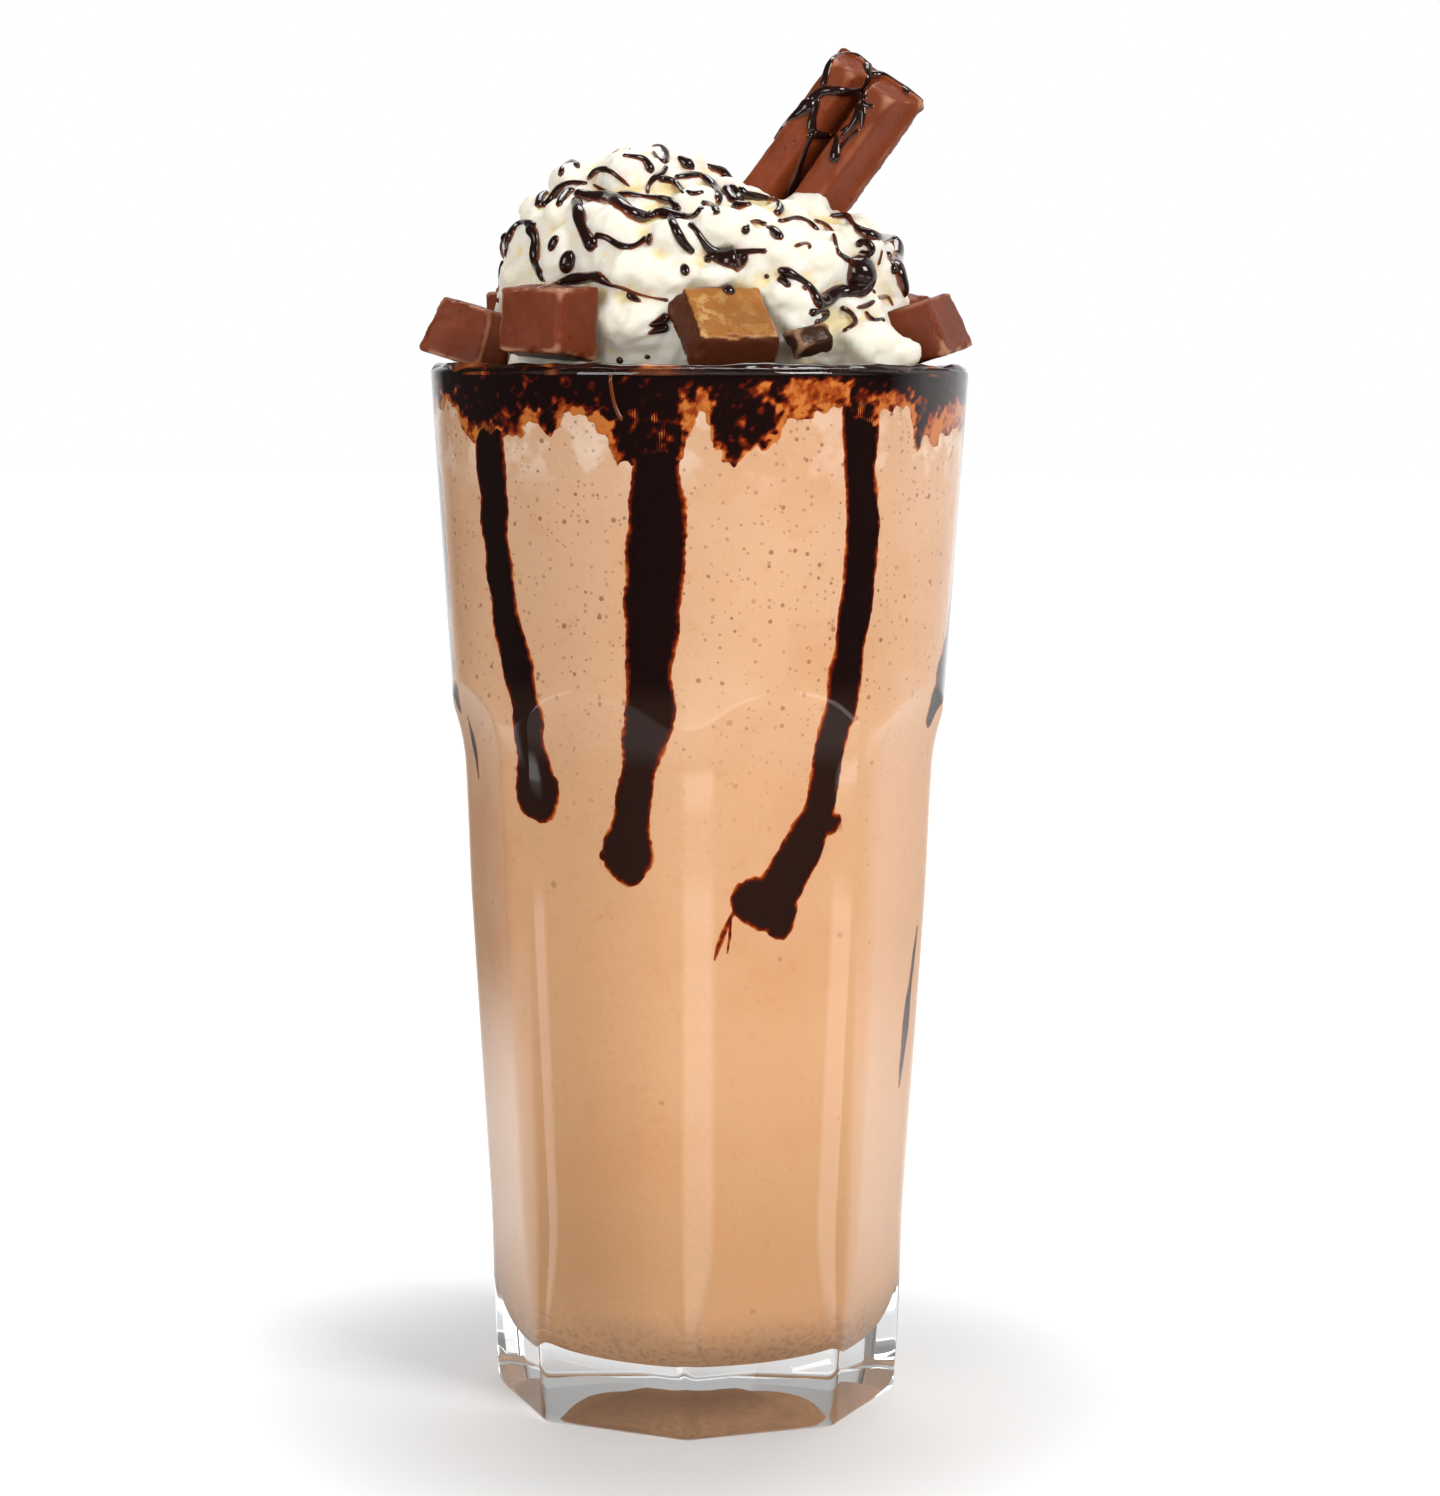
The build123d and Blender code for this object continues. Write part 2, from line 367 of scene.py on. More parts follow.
def of_vertices(mesh, kind):
    """The vertices' positions ("co") or normals ("normal") as an array."""
    values = np.empty(len(mesh.vertices) * 3)
    mesh.vertices.foreach_get(kind, values)
    return values.reshape(-1, 3)


def move_vertices(mesh, points):
    """Writes vertex positions back."""
    mesh.vertices.foreach_set("co", np.ascontiguousarray(points).ravel())
    mesh.update()


def store(mesh, name, values):
    """Keeps one number for each vertex under a name that materials read."""
    mesh.attributes.new(name, "FLOAT", "POINT").data.foreach_set("value", np.asarray(values, dtype=np.float32))


def relaxed(mesh, points, rounds):
    """Positions after each vertex has moved to the mean of its neighbours a number of times."""
    edges = np.empty(len(mesh.edges) * 2, dtype=np.int64)
    mesh.edges.foreach_get("vertices", edges)
    a, b = edges.reshape(-1, 2).T
    ends, others = np.concatenate([a, b]), np.concatenate([b, a])
    count = np.bincount(ends, minlength=len(points))[:, None]
    for _ in range(rounds):
        sums = np.stack([np.bincount(ends, points[others, k], len(points)) for k in range(3)], axis=1)
        points = sums / count
    return points


def remeshed(piece, cell):
    """Replaces a piece's mesh by an even skin round everything in it."""
    modifier = piece.modifiers.new("Skin", "REMESH")
    modifier.mode = "VOXEL"
    modifier.voxel_size = cell
    skin = bpy.data.meshes.new_from_object(piece.evaluated_get(bpy.context.evaluated_depsgraph_get()))
    piece.modifiers.remove(modifier)
    piece.data = skin
    skin.shade_smooth()


def copy_of_node(node, name):
    """A new piece with a merged copy of a CAD node's mesh."""
    mesh = bpy.data.meshes.new(name)
    work = bmesh.new()
    work.from_mesh(frame["nodes"][node].data)
    bmesh.ops.remove_doubles(work, verts=work.verts, dist=1e-7)
    work.to_mesh(mesh)
    work.free()
    piece = bpy.data.objects.new(name, mesh)
    bpy.context.scene.collection.objects.link(piece)
    return piece


def finish_piece(piece, material, slot, *nodes):
    """Gives a piece its material, hides the nodes that it stands for, and lets it ride on the part. The slot is not
    used.
    """
    piece.data.materials.clear()
    piece.data.materials.append(material)
    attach(piece, "root")
    if nodes:
        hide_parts(*nodes)


# ---- Node trees -----------------------------------------------------------------------------------------------
class Nodes:
    """A node tree, with short ways to add nodes to it."""

    def __init__(self, tree):
        self.tree = tree

    def node(self, kind, **settings):
        """A new node with the given settings."""
        node = self.tree.nodes.new(kind)
        for key, value in settings.items():
            setattr(node, key, value)
        return node

    def put(self, socket, value):
        """Links a socket, or sets a constant on it."""
        if isinstance(value, bpy.types.NodeSocket):
            self.tree.links.new(value, socket)
        elif socket.type == "RGBA":
            socket.default_value = (*value, 1.0)
        else:
            socket.default_value = value

    def filled(self, node, *values):
        """Puts values into a node's first inputs and gives its first output."""
        for socket, value in zip(node.inputs, values):
            self.put(socket, value)
        return node.outputs[0]

    def maths(self, operation, *values, clamp=False):
        """A Math node's result."""
        return self.filled(self.node("ShaderNodeMath", operation=operation, use_clamp=clamp), *values)

    def times(self, first, second):
        """The product of two numbers."""
        return self.maths("MULTIPLY", first, second)

    def plus(self, first, second, clamp=False):
        """The sum of two numbers."""
        return self.maths("ADD", first, second, clamp=clamp)

    def spread(self, value, low, high, to_low=0.0, to_high=1.0, curve="SMOOTHSTEP"):
        """A value from low to high, as a number between two others."""
        node = self.node("ShaderNodeMapRange", interpolation_type=curve)
        return self.filled(node, value, low, high, to_low, to_high)

    def run(self, value, low, high, to_low=0.0, to_high=1.0):
        """The same on a straight line."""
        return self.spread(value, low, high, to_low, to_high, "LINEAR")

    def blend(self, share, first, second):
        """Number between first and second."""
        node = self.node("ShaderNodeMix")
        for index, value in ((0, share), (2, first), (3, second)):
            self.put(node.inputs[index], value)
        return node.outputs[0]

    def ramp(self, value, *stops):
        """Colours at places along a value."""
        node = self.node("ShaderNodeValToRGB")
        while len(node.color_ramp.elements) < len(stops):
            node.color_ramp.elements.new(0.5)
        for element, (place, tint) in zip(node.color_ramp.elements, stops):
            element.position = place
            element.color = (*tint, 1.0)
        return self.filled(node, value)

    def axes(self, vector):
        """A vector's X, Y and Z."""
        node = self.node("ShaderNodeSeparateXYZ")
        self.put(node.inputs[0], vector)
        return node.outputs

    def path(self):
        """The light path's outputs."""
        return self.node("ShaderNodeLightPath").outputs


class Shader(Nodes):
    """A material's nodes. Its patterns lie on Object coordinates, and their sizes are metres."""

    def __init__(self, name):
        self.material = bpy.data.materials.new(name)
        self.material.use_nodes = True
        super().__init__(self.material.node_tree)
        self.surface = self.tree.nodes["Principled BSDF"]
        self.place = self.node("ShaderNodeTexCoord").outputs["Object"]

    def finish(self, inputs):
        """Sets or links the surface's inputs, by name, and gives the material."""
        for name, value in inputs.items():
            self.put(self.surface.inputs[name], value)
        return self.material

    def see_through(self, share):
        """Makes the surface transparent by a share."""
        mixed = self.node("ShaderNodeMixShader")
        clear = self.node("ShaderNodeBsdfTransparent")
        self.filled(mixed, share, self.surface.outputs[0], clear.outputs[0])
        self.put(self.tree.nodes["Material Output"].inputs["Surface"], mixed.outputs[0])

    def mix(self, share, first, second):
        """Colour between first and second."""
        node = self.node("ShaderNodeMix", data_type="RGBA")
        for index, value in ((0, share), (6, first), (7, second)):
            self.put(node.inputs[index], value)
        return node.outputs[2]

    def noise(self, size, detail=3.0, roughness=0.5):
        """Soft noise whose features are about size across."""
        node = self.node("ShaderNodeTexNoise")
        settings = {"Vector": self.place, "Scale": 1.0 / size, "Detail": detail, "Roughness": roughness}
        for name, value in settings.items():
            self.put(node.inputs[name], value)
        return node.outputs["Fac"]

    def dots(self, size, rarity, growth, rim=0.035):
        """1 inside round dots in scattered cells: a cell has one where its random number passes rarity, and its
        radius grows with what the number has over."""
        node = self.node("ShaderNodeTexVoronoi")
        self.put(node.inputs["Vector"], self.place)
        self.put(node.inputs["Scale"], 1.0 / size)
        chance = self.filled(self.node("ShaderNodeSeparateColor"), node.outputs["Color"])
        radius = self.times(self.maths("SUBTRACT", chance, rarity), growth)
        return self.spread(self.maths("SUBTRACT", radius, node.outputs["Distance"]), 0.0, rim)

    def attribute(self, name):
        """A number kept on the mesh."""
        return self.node("ShaderNodeAttribute", attribute_name=name).outputs["Fac"]

    def height(self):
        """Height above the floor."""
        return self.axes(self.place)["Z"]

    def bump(self, value, depth):
        """Raises the surface by a value times a depth in metres."""
        node = self.node("ShaderNodeBump")
        self.put(node.inputs["Height"], value)
        self.put(node.inputs["Distance"], depth)
        self.put(self.surface.inputs["Normal"], node.outputs[0])


# ---- Materials ------------------------------------------------------------------------------------------------
def glass_material():
    """Clear glass that refracts what is seen through it and lets the lamps' light pass to the drink."""
    shader = Shader("clear_glass")
    shader.see_through(shader.path()["Is Shadow Ray"])
    return shader.finish({
        "Base Color": (0.985, 0.99, 0.99), "Transmission Weight": 1.0, "IOR": 1.5, "Roughness": 0.0,
    })


def drink_material(look):
    """Milky brown drink, paler and pinker at the top, with darker drifts, many fine bubbles and a speckled foot."""
    shader = Shader("milkshake_drink")
    height = shader.height()
    tone = shader.mix(shader.spread(height, 0.012, 0.070), look.lowest, look.lower)
    tone = shader.mix(shader.spread(height, 0.075, 0.165), tone, look.upper)
    under_sauce = shader.times(shader.spread(height, 0.156, 0.165), shader.spread(height, 0.173, 0.170))
    froth = shader.times(shader.spread(shader.noise(0.006), 0.47, 0.60), under_sauce)
    tone = shader.mix(shader.times(froth, 0.7), tone, look.froth)
    drifts = shader.times(shader.spread(shader.noise(0.024), 0.5, 0.70), 0.40)
    smudges = shader.times(shader.spread(shader.noise(0.0032), 0.56, 0.74), 0.30)
    speckle = shader.spread(shader.noise(0.0016, 2.0), 0.46, 0.66, 0.35, 1.0)
    # Darker speckle towards the foot.
    low_sheen_and_speckle = shader.times(shader.times(shader.spread(height, 0.045, 0.012), speckle), 0.62)
    for share in (drifts, smudges, low_sheen_and_speckle):
        tone = shader.mix(share, tone, look.deep)
    grains = shader.spread(shader.noise(0.0012), 0.5, 0.6)
    foot = shader.times(shader.spread(height, 0.022, 0.011), grains)
    tone = shader.mix(shader.times(foot, 0.42), tone, look.bubble)
    crowd = shader.spread(height, 0.095, 0.135, 0.12, 1.0)
    fine = shader.times(shader.dots(0.0011, 0.15, 0.36), 0.5)
    middling = shader.times(shader.dots(0.0019, 0.25, 0.34), 0.8)
    large = shader.times(shader.dots(0.0046, 0.50, 0.30), 0.4)
    bubbles = shader.plus(shader.times(shader.plus(fine, middling), crowd), large, clamp=True)
    shader.bump(shader.noise(0.0011), 0.00008)
    return shader.finish({
        "Base Color": shader.mix(bubbles, tone, look.bubble), "Roughness": 0.5, "Specular IOR Level": 0.0,
    })


def film_material(look):
    """Sauce seen through the glass: near black where it lies thick, red-brown and amber where it thins. Below the
    arches its thick
    parts are paler and browner: a painted reflection of the veil that the facets throw over dark sauce. Fine and
    broad mottle changes its depth, less where it is thick."""
    shader = Shader("sauce_on_glass")
    cover = shader.attribute("depth")
    fine = shader.times(shader.maths("SUBTRACT", shader.noise(0.0014, 4.0, 0.6), 0.5), 0.95)
    broad = shader.times(shader.maths("SUBTRACT", shader.noise(0.0042, 2.0), 0.5), 1.1)
    depth = shader.plus(cover, shader.times(shader.plus(fine, broad), shader.spread(cover, 0.6, 0.95, 1.0, 0.4)))
    # Below the arch crowns, thick sauce turns to the painted reflection colour.
    thick = shader.mix(shader.spread(shader.height(), 0.128, 0.122), look.thick, look.low_sheen_and_speckle)
    tone = shader.ramp(depth, (0.0, look.film_edge), (0.16, look.thin), (0.42, look.middle), (0.7, look.middle))
    tone = shader.mix(shader.spread(depth, 0.44, 0.76), tone, thick)
    return shader.finish({"Base Color": tone, "Roughness": 0.4, "Specular IOR Level": 0.0})


def sauce_material(look):
    """Glossy chocolate sauce in the open, with browner thin edges."""
    shader = Shader("chocolate_sauce")
    tone = shader.ramp(
        shader.attribute("depth"), (0.0, look.open_edge), (0.42, look.open_thin), (0.72, look.open_middle),
        (1.0, look.open_thick)
    )
    return shader.finish({
        "Base Color": tone, "Roughness": 0.14, "Specular IOR Level": 0.5, "Coat Weight": 0.25, "Coat Roughness": 0.04,
    })


def cream_material(look):
    """Whipped cream: soft off-white, with painted warm shade in its folds and hollows, and fine pores."""
    shader = Shader("whipped_cream")
    # Painted shade: warm yellow where the skin lies deep in a fold.
    fold_shade_mask = shader.times(shader.attribute("fold"), shader.spread(shader.noise(0.011), 0.3, 0.62))
    shader.bump(shader.noise(0.0013, 4.0), 0.00010)
    return shader.finish({
        "Base Color": shader.mix(fold_shade_mask, look.light, look.shade), "Roughness": 0.42, "Specular IOR Level": 0.4,
        "Subsurface Weight": 0.45, "Subsurface Radius": (0.0040, 0.0024, 0.0011), "Subsurface Scale": 1.0,
    })


def chocolate_shader(name, look, tint, roughness, grain=0.00007):
    """Moulded chocolate with faint bloom, darker drifts, painted highlights along its edges, small pits with painted
    shade in them and a satin surface: its shader and its colour."""
    shader = Shader(name)
    pale = tuple(min(1.0, channel * 1.9) for channel in tint)
    dark = tuple(channel * 0.55 for channel in tint)
    # Painted highlight: edges go paler towards this colour.
    edge_highlight = tuple(0.4 * channel + 0.6 * worn for channel, worn in zip(tint, look.edge_highlight))
    # Painted shade: the small pits, pressed in by the bump, are also darkened.
    pits = shader.dots(0.0016, 0.86, 2.2)
    coats = [
        (shader.spread(shader.noise(0.004, 5.0, 0.6), 0.48, 0.75), 0.24, pale),
        (shader.spread(shader.noise(0.007, 2.0), 0.35, 0.65), 0.35, dark),
        (shader.attribute("edge"), 0.7, edge_highlight),
        (pits, 0.7, dark),
    ]
    tone = tint
    for cover, strength, shade in coats:
        tone = shader.mix(shader.times(cover, strength), tone, shade)
    shader.bump(shader.maths("SUBTRACT", shader.noise(0.0009, 4.0), pits), grain)
    shader.finish({"Roughness": roughness, "Specular IOR Level": 0.14})
    return shader, tone


def chocolate_material(name, look, tint, roughness):
    """Chocolate of one colour all over."""
    shader, tone = chocolate_shader(name, look, tint, roughness)
    return shader.finish({"Base Color": tone})


def golden_material(look):
    """Glossy golden face with painted pale glints, mostly on its left, and dark red-brown sides. The attribute "face"
    is 1 on the face."""
    shader, tone = chocolate_shader("golden_chocolate", look, look.golden, 0.24, 0.00016)
    # Painted highlight: pale glints, more of them towards the left.
    left = shader.spread(shader.axes(shader.place)["X"], 0.006, -0.001, 0.25, 1.0)
    face_glint = shader.times(shader.spread(shader.noise(0.0026, 5.0, 0.65), 0.5, 0.6), left)
    face = shader.mix(shader.times(face_glint, 0.75), tone, look.face_glint)
    return shader.finish({"Base Color": shader.mix(shader.attribute("face"), look.side, face)})


# ---- Stage ----------------------------------------------------------------------------------------------------
# Half width of the floor, and the camera's sensor width in mm and far limit.
FLOOR_HALF_WIDTH = 6.0
SENSOR_WIDTH = 36.0
FAR_LIMIT = 50.0
# Soft square lamps, aimed at the part's middle: name, place and power in watts.
LAMPS = [
    ("key_lamp", (1.5, -1.35, 1.45), 35.0), ("fill_lamp", (-1.25, -1.5, 0.62), 12.5),
    ("top_lamp", (0.1, 0.85, 1.7), 14.0),
]
LAMP_WIDTH = 0.9
PART_MIDDLE = (0, 0, 0.13)
# Low soft lights in front that only reflections see: (sine of the side that they lie to, brightness share).
LOW_LIGHTS = [
    (-0.97, 0), (-0.94, 1), (-0.87, 1), (-0.82, 0), (-0.22, 0), (-0.08, 1), (0.40, 1), (0.54, 0), (0.67, 0),
    (0.74, 1), (0.93, 1), (0.97, 0),
]


def floor_material(look):
    """White sweep that keeps the object's shadow. The camera sees it fade to white a short way out. Reflections
    see through all of it but its near part and the part behind, and what is seen through glass keeps the floor's
    own shade close to the base."""
    shader = Shader("studio_floor")
    path = shader.path()
    length_node = shader.node("ShaderNodeVectorMath", operation="LENGTH")
    shader.put(length_node.inputs[0], shader.place)
    distance = length_node.outputs["Value"]
    through = path["Is Transmission Ray"]
    reflected = shader.times(path["Is Glossy Ray"], shader.maths("SUBTRACT", 1.0, through))
    seen = shader.plus(path["Is Camera Ray"], reflected, clamp=True)
    seen = shader.plus(seen, shader.times(through, shader.spread(distance, 0.2, 0.5)), clamp=True)
    glow = shader.plus(look.floor_glow, shader.times(shader.spread(distance, 0.045, 0.15), 0.7))
    bearing = shader.maths("DIVIDE", shader.axes(shader.place)["Y"], distance)
    beside = shader.times(shader.spread(distance, 0.2, 0.45), shader.spread(bearing, 0.96, 0.84))
    in_front = shader.times(shader.spread(distance, 0.05, 0.11), shader.spread(bearing, 0.1, -0.2))
    shader.see_through(shader.times(shader.maths("MAXIMUM", beside, in_front), reflected))
    return shader.finish({
        "Base Color": look.floor, "Roughness": 0.9, "Specular IOR Level": 0.0, "Emission Color": (1.0, 1.0, 1.0),
        "Emission Strength": shader.times(seen, glow),
    })


def white_world(look):
    """World that is white to the camera and, up to a little above the horizon, through glass. Reflections see a
    white backdrop behind the part (+Y), a soft light at the right, low lights in front with a faint glow under
    them, and a dim room elsewhere. All else gets the even ambient light."""
    world = bpy.data.worlds.new("studio")
    world.use_nodes = True
    bpy.context.scene.world = world
    nodes = Nodes(world.node_tree)
    background = nodes.tree.nodes["Background"]
    across, forward, upward = nodes.axes(nodes.node("ShaderNodeTexCoord").outputs["Generated"])
    backdrop = nodes.run(forward, 0.78, 0.95, look.room, 1.0)
    in_front = nodes.maths("LESS_THAN", forward, -0.2)
    low = nodes.run(upward, -0.195, -0.225, 0.0, look.low_lights)
    low = nodes.times(low, nodes.run(upward, -0.33, -0.42, 1.0, 0.0))
    sides = nodes.ramp(nodes.run(across, -1.0, 1.0), *[((side + 1) / 2, (level,) * 3) for side, level in LOW_LIGHTS])
    lights = nodes.times(nodes.times(low, in_front), sides)
    glow = nodes.times(nodes.run(upward, -0.34, -0.52, 0.0, 0.42), in_front)
    right = nodes.times(nodes.run(across, 0.35, 0.62, 0.0, look.side_light), nodes.run(forward, -0.05, 0.35))
    mirrored = nodes.plus(nodes.plus(backdrop, lights), nodes.plus(glow, right))
    through = nodes.times(nodes.run(forward, 0.5, 0.9, 0.35, 1.0), nodes.run(upward, 0.0, 0.03, 1.0, 0.45))
    path = nodes.path()
    strength = look.ambient
    for kind, value in (("Is Glossy Ray", mirrored), ("Is Transmission Ray", through), ("Is Camera Ray", 1.0)):
        strength = nodes.blend(path[kind], strength, value)
    nodes.put(background.inputs["Strength"], strength)
    nodes.put(background.inputs["Color"], (1.0, 1.0, 1.0))


def soft_lamp(name, place, power):
    """Square area lamp at a place, turned to the part's middle."""
    data = bpy.data.lights.new(name, "AREA")
    data.shape = "SQUARE"
    data.size = LAMP_WIDTH
    data.energy = power
    lamp = bpy.data.objects.new(name, data)
    lamp.location = place
    lamp.rotation_euler = (Vector(PART_MIDDLE) - Vector(place)).to_track_quat("-Z", "Y").to_euler()
    bpy.context.scene.collection.objects.link(lamp)


def studio_camera(look):
    """Camera in front of the part at its set height, turned, tilted and rolled."""
    data = bpy.data.cameras.new("camera")
    data.lens = look.lens
    data.sensor_width = SENSOR_WIDTH
    data.clip_end = FAR_LIMIT
    camera = bpy.data.objects.new("camera", data)
    turn = Matrix.Rotation(-look.yaw, 4, "Z") @ Matrix.Rotation(math.pi / 2 - look.pitch, 4, "X")
    turn = turn @ Matrix.Rotation(look.roll, 4, "Z")
    camera.matrix_world = Matrix.Translation((0, -look.distance, look.eye_height)) @ turn
    bpy.context.scene.collection.objects.link(camera)
    bpy.context.scene.camera = camera


class MILKSHAKE_OT_stage(bpy.types.Operator):
    """Sets up the floor, the white surroundings, the lamps and the camera"""

    bl_idname = "milkshake.stage"
    bl_label = "Stage"

    def execute(self, context):
        look = context.scene.studio_look
        context.scene.view_settings.view_transform = "Standard"
        white_world(look)
        studio_camera(look)
        half = FLOOR_HALF_WIDTH
        corners = [(-half, -half, 0), (half, -half, 0), (half, half, 0), (-half, half, 0)]
        floor = new_piece("floor", corners, [(0, 1, 2, 3)])
        floor.data.materials.append(floor_material(look))
        for name, place, power in LAMPS:
            soft_lamp(name, place, power)
        return {"FINISHED"}


# ---- Tumbler --------------------------------------------------------------------------------------------------
# Share of the underside's radius over which it is hollowed; the ring outside it stands on the floor.
HOLLOW_SHARE = 0.92
COLUMNS_PER_FACET = 50


def tumbler_points(shape):
    """Grid over the whole tumbler: out along the underside, which is hollowed as a parabola, round its edge, up the
    outside, over the lip in half an ellipse and down the inside."""
    sizes = shape.s
    azimuth = shape.columns(COLUMNS_PER_FACET)
    rows = []
    edge = shape.outside(azimuth, np.array(sizes.base_round))
    for share in np.linspace(0, HOLLOW_SHARE, 14)[1:]:
        hollow = sizes.underside * (1 - (share / HOLLOW_SHARE) ** 2)
        rows.append(on_circle((edge - sizes.base_round) * share, azimuth, hollow))
    for angle in np.linspace(0, math.pi / 2, 6)[:-1]:
        inset = sizes.base_round * (1 - math.sin(angle))
        rows.append(on_circle(edge - inset, azimuth, sizes.base_round * (1 - math.cos(angle))))
    arch_low, arch_high = shape.flare - 4 * MM, sizes.arch_crown + 1.2 * MM
    heights = np.concatenate([
        np.linspace(sizes.base_round, arch_low, 24), np.linspace(arch_low, arch_high, 62)[1:],
        np.linspace(arch_high, sizes.height - sizes.lip, 14)[1:],
    ])
    rows += [on_circle(shape.outside(azimuth, np.array(z)), azimuth, z) for z in heights]
    half_wall = sizes.wall_rim / 2
    for angle in np.linspace(0, math.pi, 11)[1:-1]:
        radius = sizes.rim_radius - half_wall + half_wall * math.cos(angle)
        rows.append(on_circle(radius, azimuth, sizes.height - sizes.lip + sizes.lip * math.sin(angle)))
    inside = shape.inside_line(0.0, sizes.height - sizes.lip, 26)[::-1]
    rows += [on_circle(radius, azimuth, z) for radius, z in inside]
    return np.stack(rows)


class MILKSHAKE_OT_tumbler(bpy.types.Operator):
    """Makes the glass tumbler with flat facets that end in arches under a round rim"""

    bl_idname = "milkshake.tumbler"
    bl_label = "Tumbler"

    def execute(self, context):
        shape = TumblerShape(context.scene.tumbler_sizes)
        poles = (0, 0, shape.s.underside), (0, 0, shape.s.floor)
        vertices, faces = closed_surface(tumbler_points(shape), *poles)
        tumbler = new_piece("tumbler_glass", vertices, faces)
        finish_piece(tumbler, glass_material(), "glass", "glass")
        return {"FINISHED"}


# ---- Drink ----------------------------------------------------------------------------------------------------
class MILKSHAKE_OT_drink(bpy.types.Operator):
    """Fills the tumbler with the drink, which reaches just into the wall"""

    bl_idname = "milkshake.drink"
    bl_label = "Drink"

    def execute(self, context):
        scene = context.scene
        shape = TumblerShape(scene.tumbler_sizes)
        look = scene.drink_look
        level = shape.s.height - look.below_rim
        line = shape.inside_line(look.reach, level, 60)
        azimuth = np.linspace(0, 2 * math.pi, 181)[:-1]
        points = on_circle(line[:, 0][:, None], azimuth[None, :], line[:, 1][:, None])
        vertices, faces = closed_surface(points, (0, 0, line[0, 1]), (0, 0, level))
        drink = new_piece("milkshake_drink", vertices, faces)
        finish_piece(drink, drink_material(look), "milkshake", "milkshake")
        return {"FINISHED"}


# ---- Sauce inside the glass -----------------------------------------------------------------------------------
# Lower edges of the sauce under the rim over the front half: (azimuth in degrees, height in mm). Above the first it
# lies thick and dark, and between the two it is a thin amber film.
DARK_EDGE = [
    (-100, 169), (-80, 172), (-73, 173), (-66, 172.5), (-63, 168.5), (-55, 168.3), (-51, 169.5), (-48, 168),
    (-43, 167.7), (-41, 170.8), (-37, 171), (-35.3, 167.8), (-33, 168.2), (-31, 171.6), (-27.5, 171.6),
    (-26, 170.5), (-20.5, 170.5), (-19, 167), (-17, 162), (-4.5, 163), (-3.4, 171.5), (0, 174), (2, 171.5),
    (3, 166), (6, 163.8), (10, 163.2), (13, 165), (16.5, 168.2), (18.5, 172), (20, 175.3), (28, 176), (33, 175),
    (35, 170), (41, 170), (43, 174), (50, 174), (53, 172), (55.5, 165), (58.5, 168), (61, 171), (67, 171.5),
    (75, 173), (86, 171), (100, 169),
]
AMBER_EDGE = [
    (-100, 167), (-80, 170.5), (-72, 171.3), (-66, 170.5), (-62.5, 166), (-55, 165.4), (-50, 166), (-47, 166.8),
    (-43, 167), (-40, 168.3), (-36, 168.3), (-34, 166.8), (-32, 169.2), (-26.5, 171), (-24, 169.6), (-20.5, 167),
    (-18, 162), (-4, 162.5), (-2, 168), (0, 170), (2.2, 168), (3.4, 164), (9, 162.6), (13, 164.4), (16.5, 166.8),
    (19, 169.6), (24, 170), (28, 171), (32, 171.6), (35, 168), (41, 168), (42.5, 170.5), (45, 171.8), (50, 171.6),
    (53, 169), (55.5, 164.2), (58, 166.3), (62, 165.2), (67, 166.5), (73, 167.5), (86, 168.5), (100, 167),
]
# Places where the sauce is thin enough to glow: (azimuth in degrees, height in mm, half width, half height in mm).
GLOWS = [
    (-53.5, 167.2, 2.6, 1.5), (-72, 172.3, 2.4, 1.3), (-38, 169.3, 2.2, 1.1), (-29, 170.4, 2.8, 1.1),
    (-22.6, 168.6, 1.6, 1.4), (-19.6, 166.2, 1.2, 1.6), (-9.6, 169.6, 0.6, 1.4), (-8.2, 166.8, 0.7, 1.6),
    (-3.2, 171, 1.0, 2.2), (-1.2, 170.6, 1.4, 1.6), (9.4, 168.2, 0.7, 2.4), (14.2, 172, 0.9, 0.9),
    (2.6, 172.8, 1.5, 2.2), (13.4, 174.6, 2.0, 1.0), (17, 171.4, 1.2, 1.8), (36.6, 171.6, 0.7, 2.6),
    (70.5, 170.4, 1.6, 1.6), (56.4, 172.4, 1.2, 1.4), (-13.8, 170.4, 0.7, 1.2), (-62, 169.6, 1.4, 1.2),
    (-46.5, 170.2, 1.2, 1.0), (20.8, 173.8, 2.2, 1.8), (24.4, 173.6, 2.0, 1.6), (29.5, 174.8, 2.4, 0.8),
    (31.6, 166.6, 1.3, 1.3), (34.8, 168, 1.0, 1.5), (40.6, 169, 1.5, 2.6), (39.6, 172.8, 1.0, 1.0),
    (43.2, 173, 0.9, 0.9), (46, 173.2, 0.9, 0.9), (49, 172.8, 0.7, 0.7), (52, 170.4, 0.8, 1.8),
    (62.5, 167.6, 1.3, 2.0), (66.5, 171, 0.9, 1.4),
]
